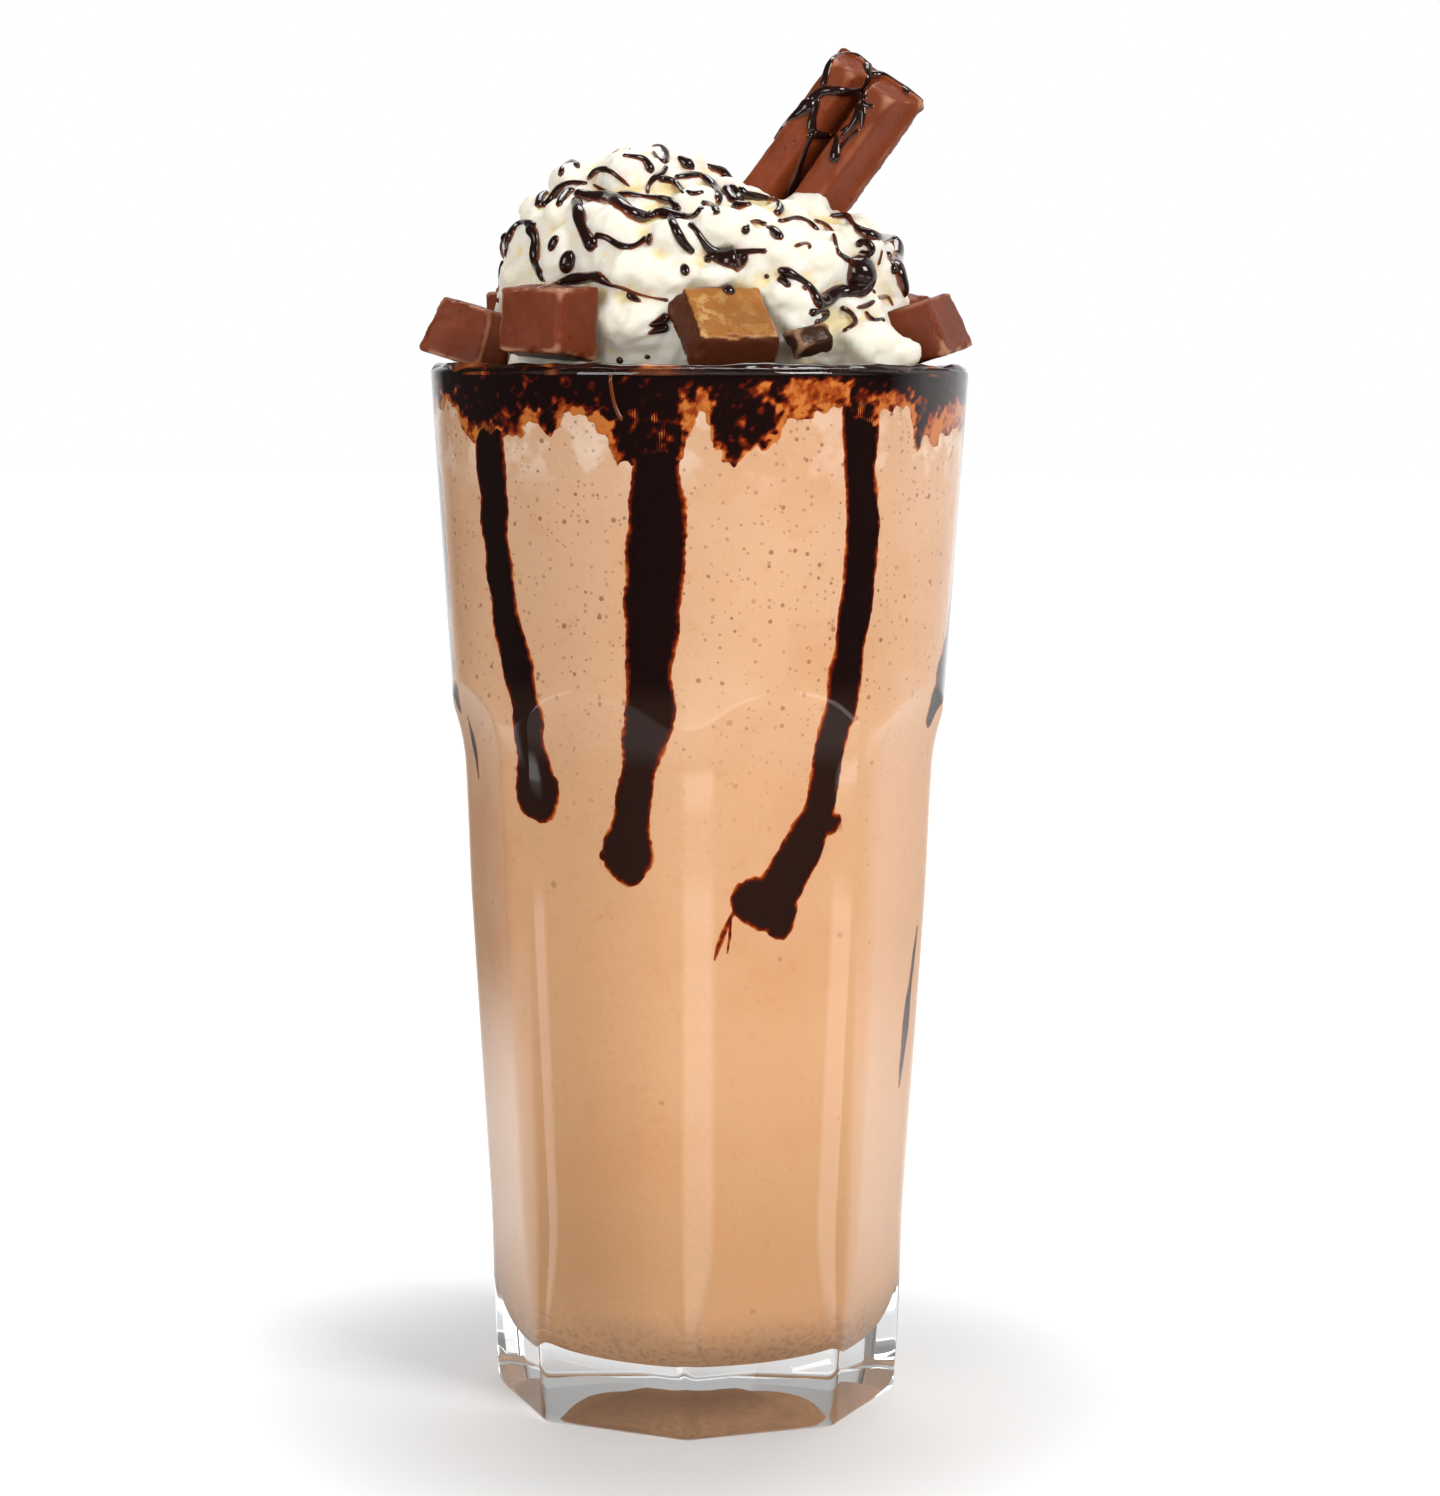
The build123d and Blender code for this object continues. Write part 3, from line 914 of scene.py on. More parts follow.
# Runs of sauce down the inside of the glass: (azimuth in degrees, height in mm, half width in mm).
FRONT_RUNS = [
    [(-52.5, 172, 4.6), (-52.7, 164.6, 3.8), (-53, 150, 3.6), (-51.7, 137.6, 3.4), (-48.3, 128, 3.9),
     (-46.3, 122.3, 3.4), (-47, 116, 3.2), (-46.3, 112.8, 3.8), (-46, 108, 5.2), (-45.6, 105, 2.4)],
    [(-9.8, 171, 5.4), (-9.8, 164.9, 3.4), (-9.1, 156.2, 4.5), (-9.8, 147.5, 4.7), (-11.9, 128.8, 4.0),
     (-11.5, 123.2, 4.3), (-14.6, 113.8, 3.7), (-16.3, 107.7, 3.4), (-17.2, 103.5, 3.9), (-18.6, 99.2, 5.3),
     (-17.6, 96.6, 3.4)],
    [(36.7, 171, 3.6), (37.9, 162, 3.1), (39.6, 153, 3.5), (39.8, 146, 3.6), (38.2, 131.5, 3.2), (36.9, 126, 3.4),
     (34.4, 112, 3.1), (32.8, 105.6, 3.5), (29, 99.6, 4.3), (24.6, 95.4, 4.6), (21.4, 92.6, 4.6),
     (19.4, 91.4, 4.2), (16.2, 91.4, 4.2), (13.4, 90.6, 3.8), (18.4, 89.8, 3.8), (22.6, 89, 3.6), (22.6, 87.4, 3.0)],
]
FRONT_SPURS = [
    [(33, 103.4, 2.2), (37.4, 103.2, 1.9), (38.6, 103.6, 1.4)],
    [(10.4, 90.2, 0.7), (8.2, 88.4, 0.42), (6.4, 86, 0.36), (4.8, 83.4, 0.36), (3.9, 81.3, 0.25)],
    [(8.2, 88.2, 0.3), (8, 85, 0.26), (7.4, 82.4, 0.2)],
    [(-22, 97.6, 1.6), (-25.5, 98.2, 0.8)],
    [(-82.5, 119, 0.6), (-81.5, 114, 1.8), (-80, 108.5, 0.6)],
    [(90, 82, 0.6), (87, 72, 1.6), (85, 65, 2.8), (84, 59, 1.8), (83, 55, 0.5)],
]


# Radii at which widths round the ring and across a run are measured.
RING_RADIUS = 0.043
RUN_RADIUS = 0.04
# Heights in mm that the ring's sheet covers, and above which its edges and raggedness don't go.
RING_SPAN = (159.5, 176.6)
EDGE_TOP = 173.4
RAGGED_TOP = 174.4
# Azimuth in degrees at which the listed edges give way to the seeded ones of the back, and the mean heights of those.
LISTED_TO = 97
BACK_AMBER, BACK_DARK = 167.5, 169.5
# Mesh spacing of a run: degrees across and mm down.
RUN_CELL = (0.52, 0.36)


def run_cover(azimuth, height, run):
    """How far inside a run each point lies, in metres: the largest, over the run's stretches, of the local half
    width less the distance to the stretch."""
    sides, levels, widths = np.array(run, dtype=float).T
    track = np.stack([np.radians(sides) * RUN_RADIUS, levels * MM], axis=1)
    widths = widths * MM
    cover = np.full(azimuth.shape, -1.0)
    for a, b, first, last in zip(track[:-1], track[1:], widths[:-1], widths[1:]):
        along = b - a
        offset = np.stack([azimuth * RUN_RADIUS, height], axis=-1) - a
        share = np.clip(offset @ along / (along @ along), 0, 1)
        width = first * (1 - share) + last * share
        cover = np.maximum(cover, width - np.linalg.norm(offset - share[..., None] * along, axis=-1))
    return cover


def sauce_sheet(name, shape, look, drink, azimuth, height, cover, depth):
    """Sheet on the inside of the glass that stands out of the drink where cover is above 0 and dips below it
    elsewhere, so that its edge follows cover = 0."""
    rise = 0.2 * MM * np.tanh(cover / (0.45 * MM))
    points = on_circle(shape.wall(height) + drink.reach + rise, azimuth, height)
    rows, columns = cover.shape
    faces = grid_faces(rows, columns, False)
    shown = cover.ravel()[faces].max(axis=1) > -0.5 * MM
    faces = faces[shown]
    used, faces = np.unique(faces, return_inverse=True)
    piece = new_piece(name, points.reshape(-1, 3)[used], faces.reshape(-1, 4).tolist())
    store(piece.data, "depth", depth.ravel()[used])
    wall = piece.modifiers.new("Film", "SOLIDIFY")
    wall.thickness = look.film
    wall.offset = -1.0
    return piece


def ring_sheet(shape, look, drink):
    """The band of sauce under the rim, all the way round. Thick above one ragged edge, amber down to the other, and
    thinned at the glows, each by a bell that falls with the distance from its middle."""
    azimuth, height = np.meshgrid(
        np.linspace(-math.pi, math.pi, 681), np.linspace(*RING_SPAN, 48) * MM, indexing="xy"
    )
    places = on_circle(RING_RADIUS, azimuth, height)
    in_front = smooth_step(-0.2, 0.2, math.radians(LISTED_TO) - np.abs(azimuth))
    sway = waves(on_circle(RING_RADIUS, azimuth, 0.0), 0.016, 5)
    edges = []
    for listed, mean in ((AMBER_EDGE, BACK_AMBER), (DARK_EDGE, BACK_DARK)):
        side, level = np.array(listed, dtype=float).T
        front = np.interp(np.degrees(azimuth), side, level)
        edges.append((front * in_front + (mean + 2.4 * sway) * (1 - in_front)) * MM)
    ragged = 0.42 * MM * waves(places, 0.0042, 11) + 0.34 * MM * waves(places, 0.0017, 12)
    ragged = ragged * np.clip((RAGGED_TOP * MM - height) / (1.5 * MM), 0, 1)
    cover = height - np.minimum(edges[0], EDGE_TOP * MM) + ragged
    dark = smooth_step(-0.7 * MM, 1.3 * MM, height - edges[1] + 1.3 * ragged)
    depth = 0.20 + 0.20 * waves(places, 0.0021, 13) + 0.13 * waves(places, 0.001, 14) + 0.80 * dark
    mottle = np.clip(waves(places, 0.0030, 16) + 0.6 * waves(places, 0.0013, 17), 0, 1.3)
    depth = depth - 0.55 * mottle * np.exp(-np.clip(height - edges[1], 0, None) / (2.4 * MM))
    for side, level, wide, high in GLOWS:
        across = (azimuth - math.radians(side)) * (RING_RADIUS / MM) / wide
        glow = np.exp(-(across**2) - ((height / MM - level) / high) ** 2)
        depth = depth - (0.95 + 0.25 * waves(places, 0.0016, 15)) * glow
    return sauce_sheet("sauce_under_rim", shape, look, drink, azimuth, height, cover, np.clip(depth, 0.02, 1.2))


def run_sheet(name, shape, look, drink, run, seed):
    """One run of sauce down the inside of the glass, with a wandering edge."""
    sides, heights, widths = zip(*run)
    margin = max(widths) + 1.5
    azimuth, height = np.meshgrid(
        np.radians(np.arange(min(sides) - margin * 1.6, max(sides) + margin * 1.6, RUN_CELL[0])),
        np.arange(min(heights) - margin, max(heights) + margin, RUN_CELL[1]) * MM,
        indexing="xy",
    )
    places = on_circle(RUN_RADIUS, azimuth, height)
    cover = run_cover(azimuth, height, run)
    wide = min(1.0, margin / 5.0)
    cover = cover + wide * (0.2 * MM * waves(places, 0.007, seed) + 0.07 * MM * waves(places, 0.0016, seed + 1))
    depth = 0.10 + cover / (1.25 * MM)
    return sauce_sheet(name, shape, look, drink, azimuth, height, cover, depth)


# Azimuths of the runs at the sides and the back, in degrees, and the height in mm at which they start.
BACK_RUNS = (82, 118, 158, 196, 232, 270)
BACK_RUN_TOP = 171


def back_runs():
    """Runs for the sides and the back that wander as the front ones do: each starts under the rim, drifts sideways
    by a sine of its height and ends in a wider drop."""
    rng = np.random.default_rng(21)
    runs = []
    for azimuth in BACK_RUNS:
        azimuth = azimuth + rng.uniform(-6, 6)
        end = rng.uniform(88, 140)
        drift, phase = rng.uniform(3, 8), rng.uniform(0, 6)
        places = []
        for share in np.linspace(0, 1, 9):
            side = azimuth + drift * math.sin(phase + 3.2 * share)
            width = 3.4 + 0.6 * math.sin(phase * 2 + 7 * share) + (1.6 if 0.85 < share < 0.95 else 0.0)
            height = BACK_RUN_TOP + (end - BACK_RUN_TOP) * share
            places.append((side, height, width * (0.55 if share == 1 else 1.0)))
        runs.append(places)
    return runs


class MILKSHAKE_OT_sauce_on_glass(bpy.types.Operator):
    """Coats the inside of the glass under the rim with sauce that runs down it"""

    bl_idname = "milkshake.sauce_on_glass"
    bl_label = "Sauce on the glass"

    def execute(self, context):
        scene = context.scene
        shape = TumblerShape(scene.tumbler_sizes)
        look, drink = scene.sauce_look, scene.drink_look
        material = film_material(look)
        finish_piece(ring_sheet(shape, look, drink), material, "dark_chocolate")
        runs = FRONT_RUNS + FRONT_SPURS + back_runs()
        for number, run in enumerate(runs, start=1):
            piece = run_sheet(f"sauce_run_{number}", shape, look, drink, run, 30 + 3 * number)
            finish_piece(piece, material, "dark_chocolate")
        return {"FINISHED"}


# ---- Sauce pool -----------------------------------------------------------------------------------------------
# Places where the sauce on the rim is thin: (azimuth in degrees, half width in degrees).
RIM_GLOWS = [(-57, 6), (-9, 5.5), (-33, 2), (60, 3), (112, 9), (171, 7), (-140, 8)]


# The sauce's depth on the lip, how far it climbs the glass, and how far out from the wall that climb is felt.
LIP_COAT = 0.5 * MM
POOL_CLIMB = 1.3 * MM
CLIMB_WIDTH = 1.6 * MM


class MILKSHAKE_OT_pool(bpy.types.Operator):
    """Pools sauce on the drink, up against the glass and over its lip"""

    bl_idname = "milkshake.pool"
    bl_label = "Sauce pool"

    def execute(self, context):
        scene = context.scene
        look = scene.sauce_look
        sizes = scene.tumbler_sizes
        level = sizes.height - scene.drink_look.below_rim
        azimuth = np.linspace(-math.pi, math.pi, 481)[:-1][None, :]
        round_trip = on_circle(0.045, azimuth, 0.0)
        short = 0.75 - 0.5 * waves(round_trip, 0.019, 81) - 0.22 * waves(round_trip, 0.005, 82)
        spill = sizes.rim_radius - np.clip(short, 0.12, 2.0) * MM
        middle = sizes.rim_radius - sizes.wall_rim / 2
        wall = middle - sizes.wall_rim / 2
        beside = TumblerShape(sizes).wall(level) - 0.05 * MM
        inner = np.linspace(look.pool_inner, beside, 14)[:, None] + 0 * spill
        outer = wall + 0.02 * MM + (spill - wall - 0.02 * MM) * np.linspace(0, 1, 18)[:, None]
        radius = np.concatenate([inner, outer])
        across = np.clip((radius - middle) / (sizes.wall_rim / 2), -1, 1)
        lip = sizes.height - sizes.lip + sizes.lip * np.sqrt(1 - across**2)
        lip = np.where(radius < wall, level, lip)
        places = on_circle(radius, azimuth, 0.0)
        edge = np.sqrt(np.clip((spill - radius) / (0.9 * MM), 0, 1))
        coat = lip + LIP_COAT * edge * (1 + 0.2 * waves(places, 0.006, 83))
        climb = POOL_CLIMB * np.exp(-np.abs(wall - radius) / CLIMB_WIDTH)
        pool = level + look.pool_level + climb + 0.16 * MM * waves(places, 0.009, 84)
        top = np.maximum(coat, np.where(radius < middle, pool, 0.0))
        upper = on_circle(radius, azimuth, top)
        lower = on_circle(radius, azimuth, np.where(lip > level, lip - 0.15 * MM, level))[::-1]
        points = np.concatenate([upper, lower])
        rows, columns = points.shape[:2]
        faces = grid_faces(rows, columns, True).tolist()
        last = (rows - 1) * columns
        ring = np.arange(columns)
        after = (ring + 1) % columns
        faces += np.stack([last + ring, last + after, after, ring], axis=1).tolist()
        piece = new_piece("sauce_pool", points.reshape(-1, 3), [face[::-1] for face in faces])
        thin = sum(np.exp(-(((np.degrees(azimuth) - side) / width) ** 2)) for side, width in RIM_GLOWS)
        depth = 1.0 - 0.85 * np.clip(thin + 0 * radius, 0, 1) * smooth_step(39 * MM, 43 * MM, radius)
        depth = depth + 0.12 * waves(places, 0.003, 85)
        store(piece.data, "depth", np.concatenate([depth, depth[::-1]]).ravel())
        finish_piece(piece, sauce_material(look), "dark_chocolate")
        return {"FINISHED"}


# ---- Whipped cream --------------------------------------------------------------------------------------------
# The mound's outline: height, where its middle lies across, and its radius, in mm.
MOUND = [
    (174.5, 0, 32.8), (178, 0, 33.6), (186, 0, 34.6), (194, 0, 33.6), (200, 0, 31.8), (204.5, -5, 23.4),
    (208, -10, 16.4), (212.4, -10.4, 10.8), (215, -9, 5),
]
# The lower swirl that carries the bar: centre x, y and z, radius, half height, ridges, seed. Millimetres.
SHOULDER = (19, 1.5, 196.0, 13.6, 8.0, 7, 4)
# Lower lumps in front of the right-hand chunk, given in the same way.
APRON = [(25.5, -19, 180.4, 9.0, 6.2, 5, 8), (32.6, -19.5, 180.2, 4.0, 2.6, 3, 9), (-24, -22, 179, 8.0, 5.0, 5, 10)]
# Folds of the front: place across and height, then half widths across and up, in mm, and a lean in degrees. Each one
# stands out of the tiers at the radius that they have there.
FOLDS = [
    (-11.3, 208.6, 5.6, 4.4, -12), (-21, 208.8, 3.2, 3.2, 20), (-14, 200.4, 7.6, 3.6, -14),
    (-21.4, 203, 2.6, 3.2, 60), (-25.2, 201.2, 3.2, 4.2, 70), (-29.6, 198.6, 3.4, 5.4, 75),
    (-29.4, 193, 5.0, 3.4, 8), (-21.8, 195.6, 5.2, 4.6, 30), (-10, 192.6, 8.6, 4.2, -6), (-4.2, 198, 4.4, 3.6, -30),
    (-10.6, 185, 6.6, 4.8, 0), (-35, 183.6, 2.8, 4.6, 80), (-32.6, 189.6, 3.8, 2.6, 10),
    (3.4, 200.4, 5.0, 3.6, -20), (6, 206.4, 5.0, 2.6, -25), (16.6, 195.2, 7.4, 5.0, -12),
    (14.6, 203.2, 3.4, 2.4, -30), (22.6, 203.4, 4.2, 3.6, -20), (26.5, 197.6, 3.6, 4.0, -60),
    (29.6, 192.4, 3.4, 4.6, 80), (14.4, 189.6, 5.0, 2.8, -10), (15.4, 184.6, 4.0, 3.6, 10),
    (28, 181.6, 8.8, 4.4, -14), (24, 188.2, 5.0, 2.6, -5), (1.5, 192.8, 4.2, 2.4, 5), (-3.4, 212.2, 4.4, 2.2, -10),
    (33.2, 186.5, 3.0, 4.0, 70), (-2, 204.6, 4.4, 2.4, 15),
]


def mound(height):
    """Where the mound's middle lies across, and its radius, at a height in mm: straight runs between the levels."""
    levels, middles, radii = np.array(MOUND, dtype=float).T
    return np.interp(height, levels, middles), np.interp(height, levels, radii)


# How far a fold's middle lies inside the mound's radius and its half depth, in mm, and how far a front fold is
# stretched past its listed half widths.
FOLD_INSET = 3.4
FOLD_DEPTH = 5.0
FOLD_STRETCH = 1.12
# Heights in mm of the rows of folds round the sides and the back, and the room that a fold takes up in its row.
FOLD_ROWS = (183, 190, 197, 204, 210)
FOLD_SPACING = 13.5
# Rounds of relaxing for the cream's skin, and for the evener skins that show its hollows and its valleys.
SKIN_ROUNDS, HOLLOW_ROUNDS, VALLEY_ROUNDS = 7, 40, 120


def ball_angles(rows, columns):
    """Tilts from one pole to the other without the poles, down a column, and turns once round, along a row."""
    tilt = np.linspace(-math.pi / 2, math.pi / 2, rows)[1:-1][:, None]
    return tilt, np.linspace(0, 2 * math.pi, columns)[:-1][None, :]


def mound_grid():
    """The whole mound: rings round its outline, with soft ridges that lean as they rise."""
    height = np.linspace(MOUND[0][0], MOUND[-1][0], 60)[:, None]
    turn = np.linspace(0, 2 * math.pi, 181)[:-1][None, :]
    middle, radius = mound(height)
    plan = np.stack([np.cos(turn + 0 * height), np.sin(turn + 0 * height), 0.05 * height + 0 * turn], axis=-1)
    ridge = 0.8 * np.cos(10 * turn + 0.33 * (height - 174) + 1.2 * waves(plan, 2.0, 3)) + 0.7 * waves(plan, 0.9, 4)
    reach = radius - 1.0 + ridge * np.clip(radius / 30, 0, 1)
    points = np.stack([middle + reach * np.cos(turn), 0.5 + reach * np.sin(turn), height + 0 * turn], axis=-1)
    low, high = MOUND[0], MOUND[-1]
    return points * MM, (low[1] * MM, 0, low[0] * MM), (high[1] * MM, 0, (high[0] + 0.6) * MM)


def fold_grid(azimuth, height, wide, high, lean):
    """A fold of cream: a ball stretched along the surface, turned by its lean, whose middle lies a little inside
    the mound's radius at its azimuth."""
    tilt, turn = ball_angles(20, 33)
    across = wide * np.cos(tilt) * np.cos(turn)
    out = FOLD_DEPTH * np.cos(tilt) * np.sin(turn)
    up = high * np.sin(tilt) + 0 * turn
    across_middle, radius = mound(height)
    side = np.array([math.cos(azimuth), math.sin(azimuth)])
    facing = np.array([math.sin(azimuth), -math.cos(azimuth)])
    middle = np.array([across_middle, 0.0]) + max(1.0, radius - FOLD_INSET) * facing
    cos, sin = math.cos(math.radians(lean)), math.sin(math.radians(lean))

    def placed(along, proud, rise):
        """Points from distances along the surface, out of it and up it."""
        turned = along * cos - rise * sin
        plan = middle + turned[..., None] * side + proud[..., None] * facing
        return np.concatenate([plan, (height + along * sin + rise * cos)[..., None]], axis=-1) * MM

    zero = np.zeros(1)
    return placed(across, out, up), placed(zero, zero, zero - high)[0], placed(zero, zero, zero + high)[0]


def all_folds():
    """The front folds, and folds like them in staggered rows round the sides and the back."""
    folds = []
    for x, height, wide, high, lean in FOLDS:
        middle, radius = mound(height)
        azimuth = math.asin(max(-0.97, min(0.97, (x - middle) / (radius - FOLD_INSET))))
        folds.append(fold_grid(azimuth, height, FOLD_STRETCH * wide, FOLD_STRETCH * high, lean))
    rng = np.random.default_rng(33)
    for row, height in enumerate(FOLD_ROWS):
        count = int(round(2 * math.pi * mound(height)[1] / FOLD_SPACING))
        for number in range(count):
            azimuth = 2 * math.pi * (number + 0.5 * (row % 2)) / count + rng.uniform(-0.12, 0.12)
            wide, high, lean = rng.uniform(5, 8.5), rng.uniform(3.2, 4.6), rng.uniform(-30, 20)
            rise = rng.uniform(-1.6, 1.6)
            if math.cos(azimuth) < 0.2:
                folds.append(fold_grid(azimuth, height + rise, wide, high, lean))
    return folds


def tier_grid(x, y, z, radius, half_height, ridges, seed):
    """A piped tier: a flattened ball whose radius swells into ridges that lean round it as they rise."""
    tilt, turn = ball_angles(42, 151)
    sway = waves(np.stack([np.cos(turn + 0 * tilt), np.sin(turn + 0 * tilt), tilt + 0 * turn], axis=-1), 2.2, seed)
    ridge = 0.055 * np.cos(ridges * (turn + 0.5 * tilt) + 0.9 * sway) * np.cos(tilt)
    reach = radius * np.cos(tilt) ** 0.72 * (1 + ridge + 0.03 * sway)
    points = np.stack([
        x + reach * np.cos(turn), y + reach * np.sin(turn), z + half_height * (np.sin(tilt) + 0.07 * sway) + 0 * turn
    ], axis=-1)
    return points * MM, (x * MM, y * MM, (z - half_height) * MM), (x * MM, y * MM, (z + half_height) * MM)


class MILKSHAKE_OT_cream(bpy.types.Operator):
    """Pipes the whipped cream: the mound, its tiers, lumps and folds fused into one soft skin"""

    bl_idname = "milkshake.cream"
    bl_label = "Whipped cream"

    def execute(self, context):
        look = context.scene.cream_look
        parts = [mound_grid(), tier_grid(*SHOULDER)] + [tier_grid(*lump) for lump in APRON] + all_folds()
        vertices, faces = joined(parts)
        floor_level = context.scene.tumbler_sizes.height - context.scene.drink_look.below_rim
        vertices[:, 2] = np.maximum(vertices[:, 2], floor_level)
        cream = new_piece("cream_swirls", vertices, faces)
        remeshed(cream, look.cell)
        mesh = cream.data
        points = relaxed(mesh, of_vertices(mesh, "co"), SKIN_ROUNDS)
        move_vertices(mesh, points)
        out = of_vertices(mesh, "normal")
        ripples = waves(points, 0.009, 41) + 0.5 * waves(points, 0.004, 42) + 0.2 * waves(points, 0.0018, 43)
        points = points + out * (look.ripple * ripples)[:, None]
        move_vertices(mesh, points)
        out = of_vertices(mesh, "normal")
        # How deep each vertex lies in a hollow or valley, kept as "fold", tells the material where to paint warm
        # shade.
        even = relaxed(mesh, points, HOLLOW_ROUNDS)
        broad = relaxed(mesh, even, VALLEY_ROUNDS)
        hollow = smooth_step(0.03 * MM, 0.5 * MM, ((even - points) * out).sum(axis=1))
        valley = smooth_step(0.1 * MM, 1.1 * MM, ((broad - points) * out).sum(axis=1))
        store(mesh, "fold", np.clip(0.8 * hollow + 0.6 * valley, 0, 1))
        finish_piece(cream, cream_material(look), "whipped_cream", "whipped_cream")
        return {"FINISHED"}


# ---- Chocolate ------------------------------------------------------------------------------------------------
# How far a vertex stands proud of the relaxed skin, from where an edge may chip and from where it gets a painted
# highlight.
CHIPPED = (0.12 * MM, 0.5 * MM)
EDGE_HIGHLIGHT = (0.26 * MM, 0.52 * MM)
EDGE_ROUNDS = 30


def worn_copy(node, name, cell, chip, seed):
    """A CAD node's shape with slightly uneven faces and chips out of its edges. How far a vertex stands proud of
    the relaxed skin tells where the edges are."""
    piece = copy_of_node(node, name)
    remeshed(piece, cell)
    mesh = piece.data
    points = of_vertices(mesh, "co")
    out = of_vertices(mesh, "normal")
    proud = ((points - relaxed(mesh, points, EDGE_ROUNDS)) * out).sum(axis=1)
    edge = smooth_step(*CHIPPED, proud)
    bites = np.clip(waves(points, 0.0042, seed) - 1.0, 0, 1.2) + 0.3 * np.clip(waves(points, 0.0014, seed + 1), 0, 2)
    uneven = 0.05 * MM * (waves(points, 0.008, seed + 2) - 1.2) + 0.02 * MM * waves(points, 0.002, seed + 3)
    points = points + out * (uneven - chip * edge * bites)[:, None]
    move_vertices(mesh, relaxed(mesh, points, 1))
    # Painted highlight: the attribute "edge" marks the edges that the material paints paler.
    edge_highlight = smooth_step(*EDGE_HIGHLIGHT, proud)
    store(mesh, "edge", edge_highlight * smooth_step(-0.9, 0.7, waves(points, 0.004, seed + 4)))
    return piece


# The golden chunk, and how far its face leans from level and to which azimuth, in degrees.
GOLDEN_CHUNK = "chocolate_chunk_3"
GOLDEN_LEAN = 46.6
GOLDEN_AZIMUTH = 22.3


class MILKSHAKE_OT_chunks(bpy.types.Operator):
    """Gives the moulded chunks and the shard worn, chipped surfaces"""

    bl_idname = "milkshake.chunks"
    bl_label = "Chocolate chunks"

    def execute(self, context):
        look = context.scene.chocolate_look
        plain = chocolate_material("milk_chocolate", look, look.milk, 0.42)
        golden = golden_material(look)
        for node in sorted(name for name in frame["nodes"] if name.startswith("chocolate_chunk")):
            number = int(node.rsplit("_", 1)[1])
            piece = worn_copy(node, f"chunk_{number}_worn", look.cell, look.chip, 60 + 5 * number)
            material, slot = plain, "chocolate"
            if node == GOLDEN_CHUNK:
                lean = math.radians(GOLDEN_LEAN)
                facing = on_circle(math.sin(lean), math.radians(GOLDEN_AZIMUTH), math.cos(lean))
                store(piece.data, "face", smooth_step(0.6, 0.85, of_vertices(piece.data, "normal") @ facing))
                material, slot = golden, "golden_chocolate"
            finish_piece(piece, material, slot, node)
        shard = worn_copy("chocolate_shard", "shard_coated", look.cell, look.chip, 120)
        dark = chocolate_material("coated_chocolate", look, look.coated, 0.2)
        finish_piece(shard, dark, "dark_chocolate", "chocolate_shard")
        return {"FINISHED"}


class MILKSHAKE_OT_bar(bpy.types.Operator):
    """Gives the two-finger bar a softly worn surface"""

    bl_idname = "milkshake.bar"
    bl_label = "Chocolate bar"

    def execute(self, context):
        look = context.scene.chocolate_look
        bar = worn_copy("chocolate_bar", "bar_two_fingers", look.cell, 0.5 * look.chip, 140)
        finish_piece(bar, chocolate_material("bar_chocolate", look, look.bar, 0.38), "chocolate", "chocolate_bar")
        return {"FINISHED"}


# ---- Drizzle --------------------------------------------------------------------------------------------------
# Plane on which the strands and drops seen from the front are drawn, as its place along Y in mm.
FRONT_PLANE = -25.0
# Distance in mm between the points of a strand, and how much wider than listed the strands on the cream and on the
# bar are.
STRAND_STEP = 0.3
CREAM_STRAND_SWELL = 1.5
BAR_STRAND_SWELL = 1.6
# Radius outside everything from which strands and drops are cast inwards.
CAST_RADIUS = 0.07
# Strands and drops for the sides and the back: how many of each, and between which azimuths in degrees.
STRANDS_BEHIND, DROPS_BEHIND = 30, 16
BEHIND = (95, 265)
# How many mm a degree counts as where a strand is drawn round the cream or round the lip.
CREAM_GIRTH, LIP_GIRTH = 0.45, 0.8
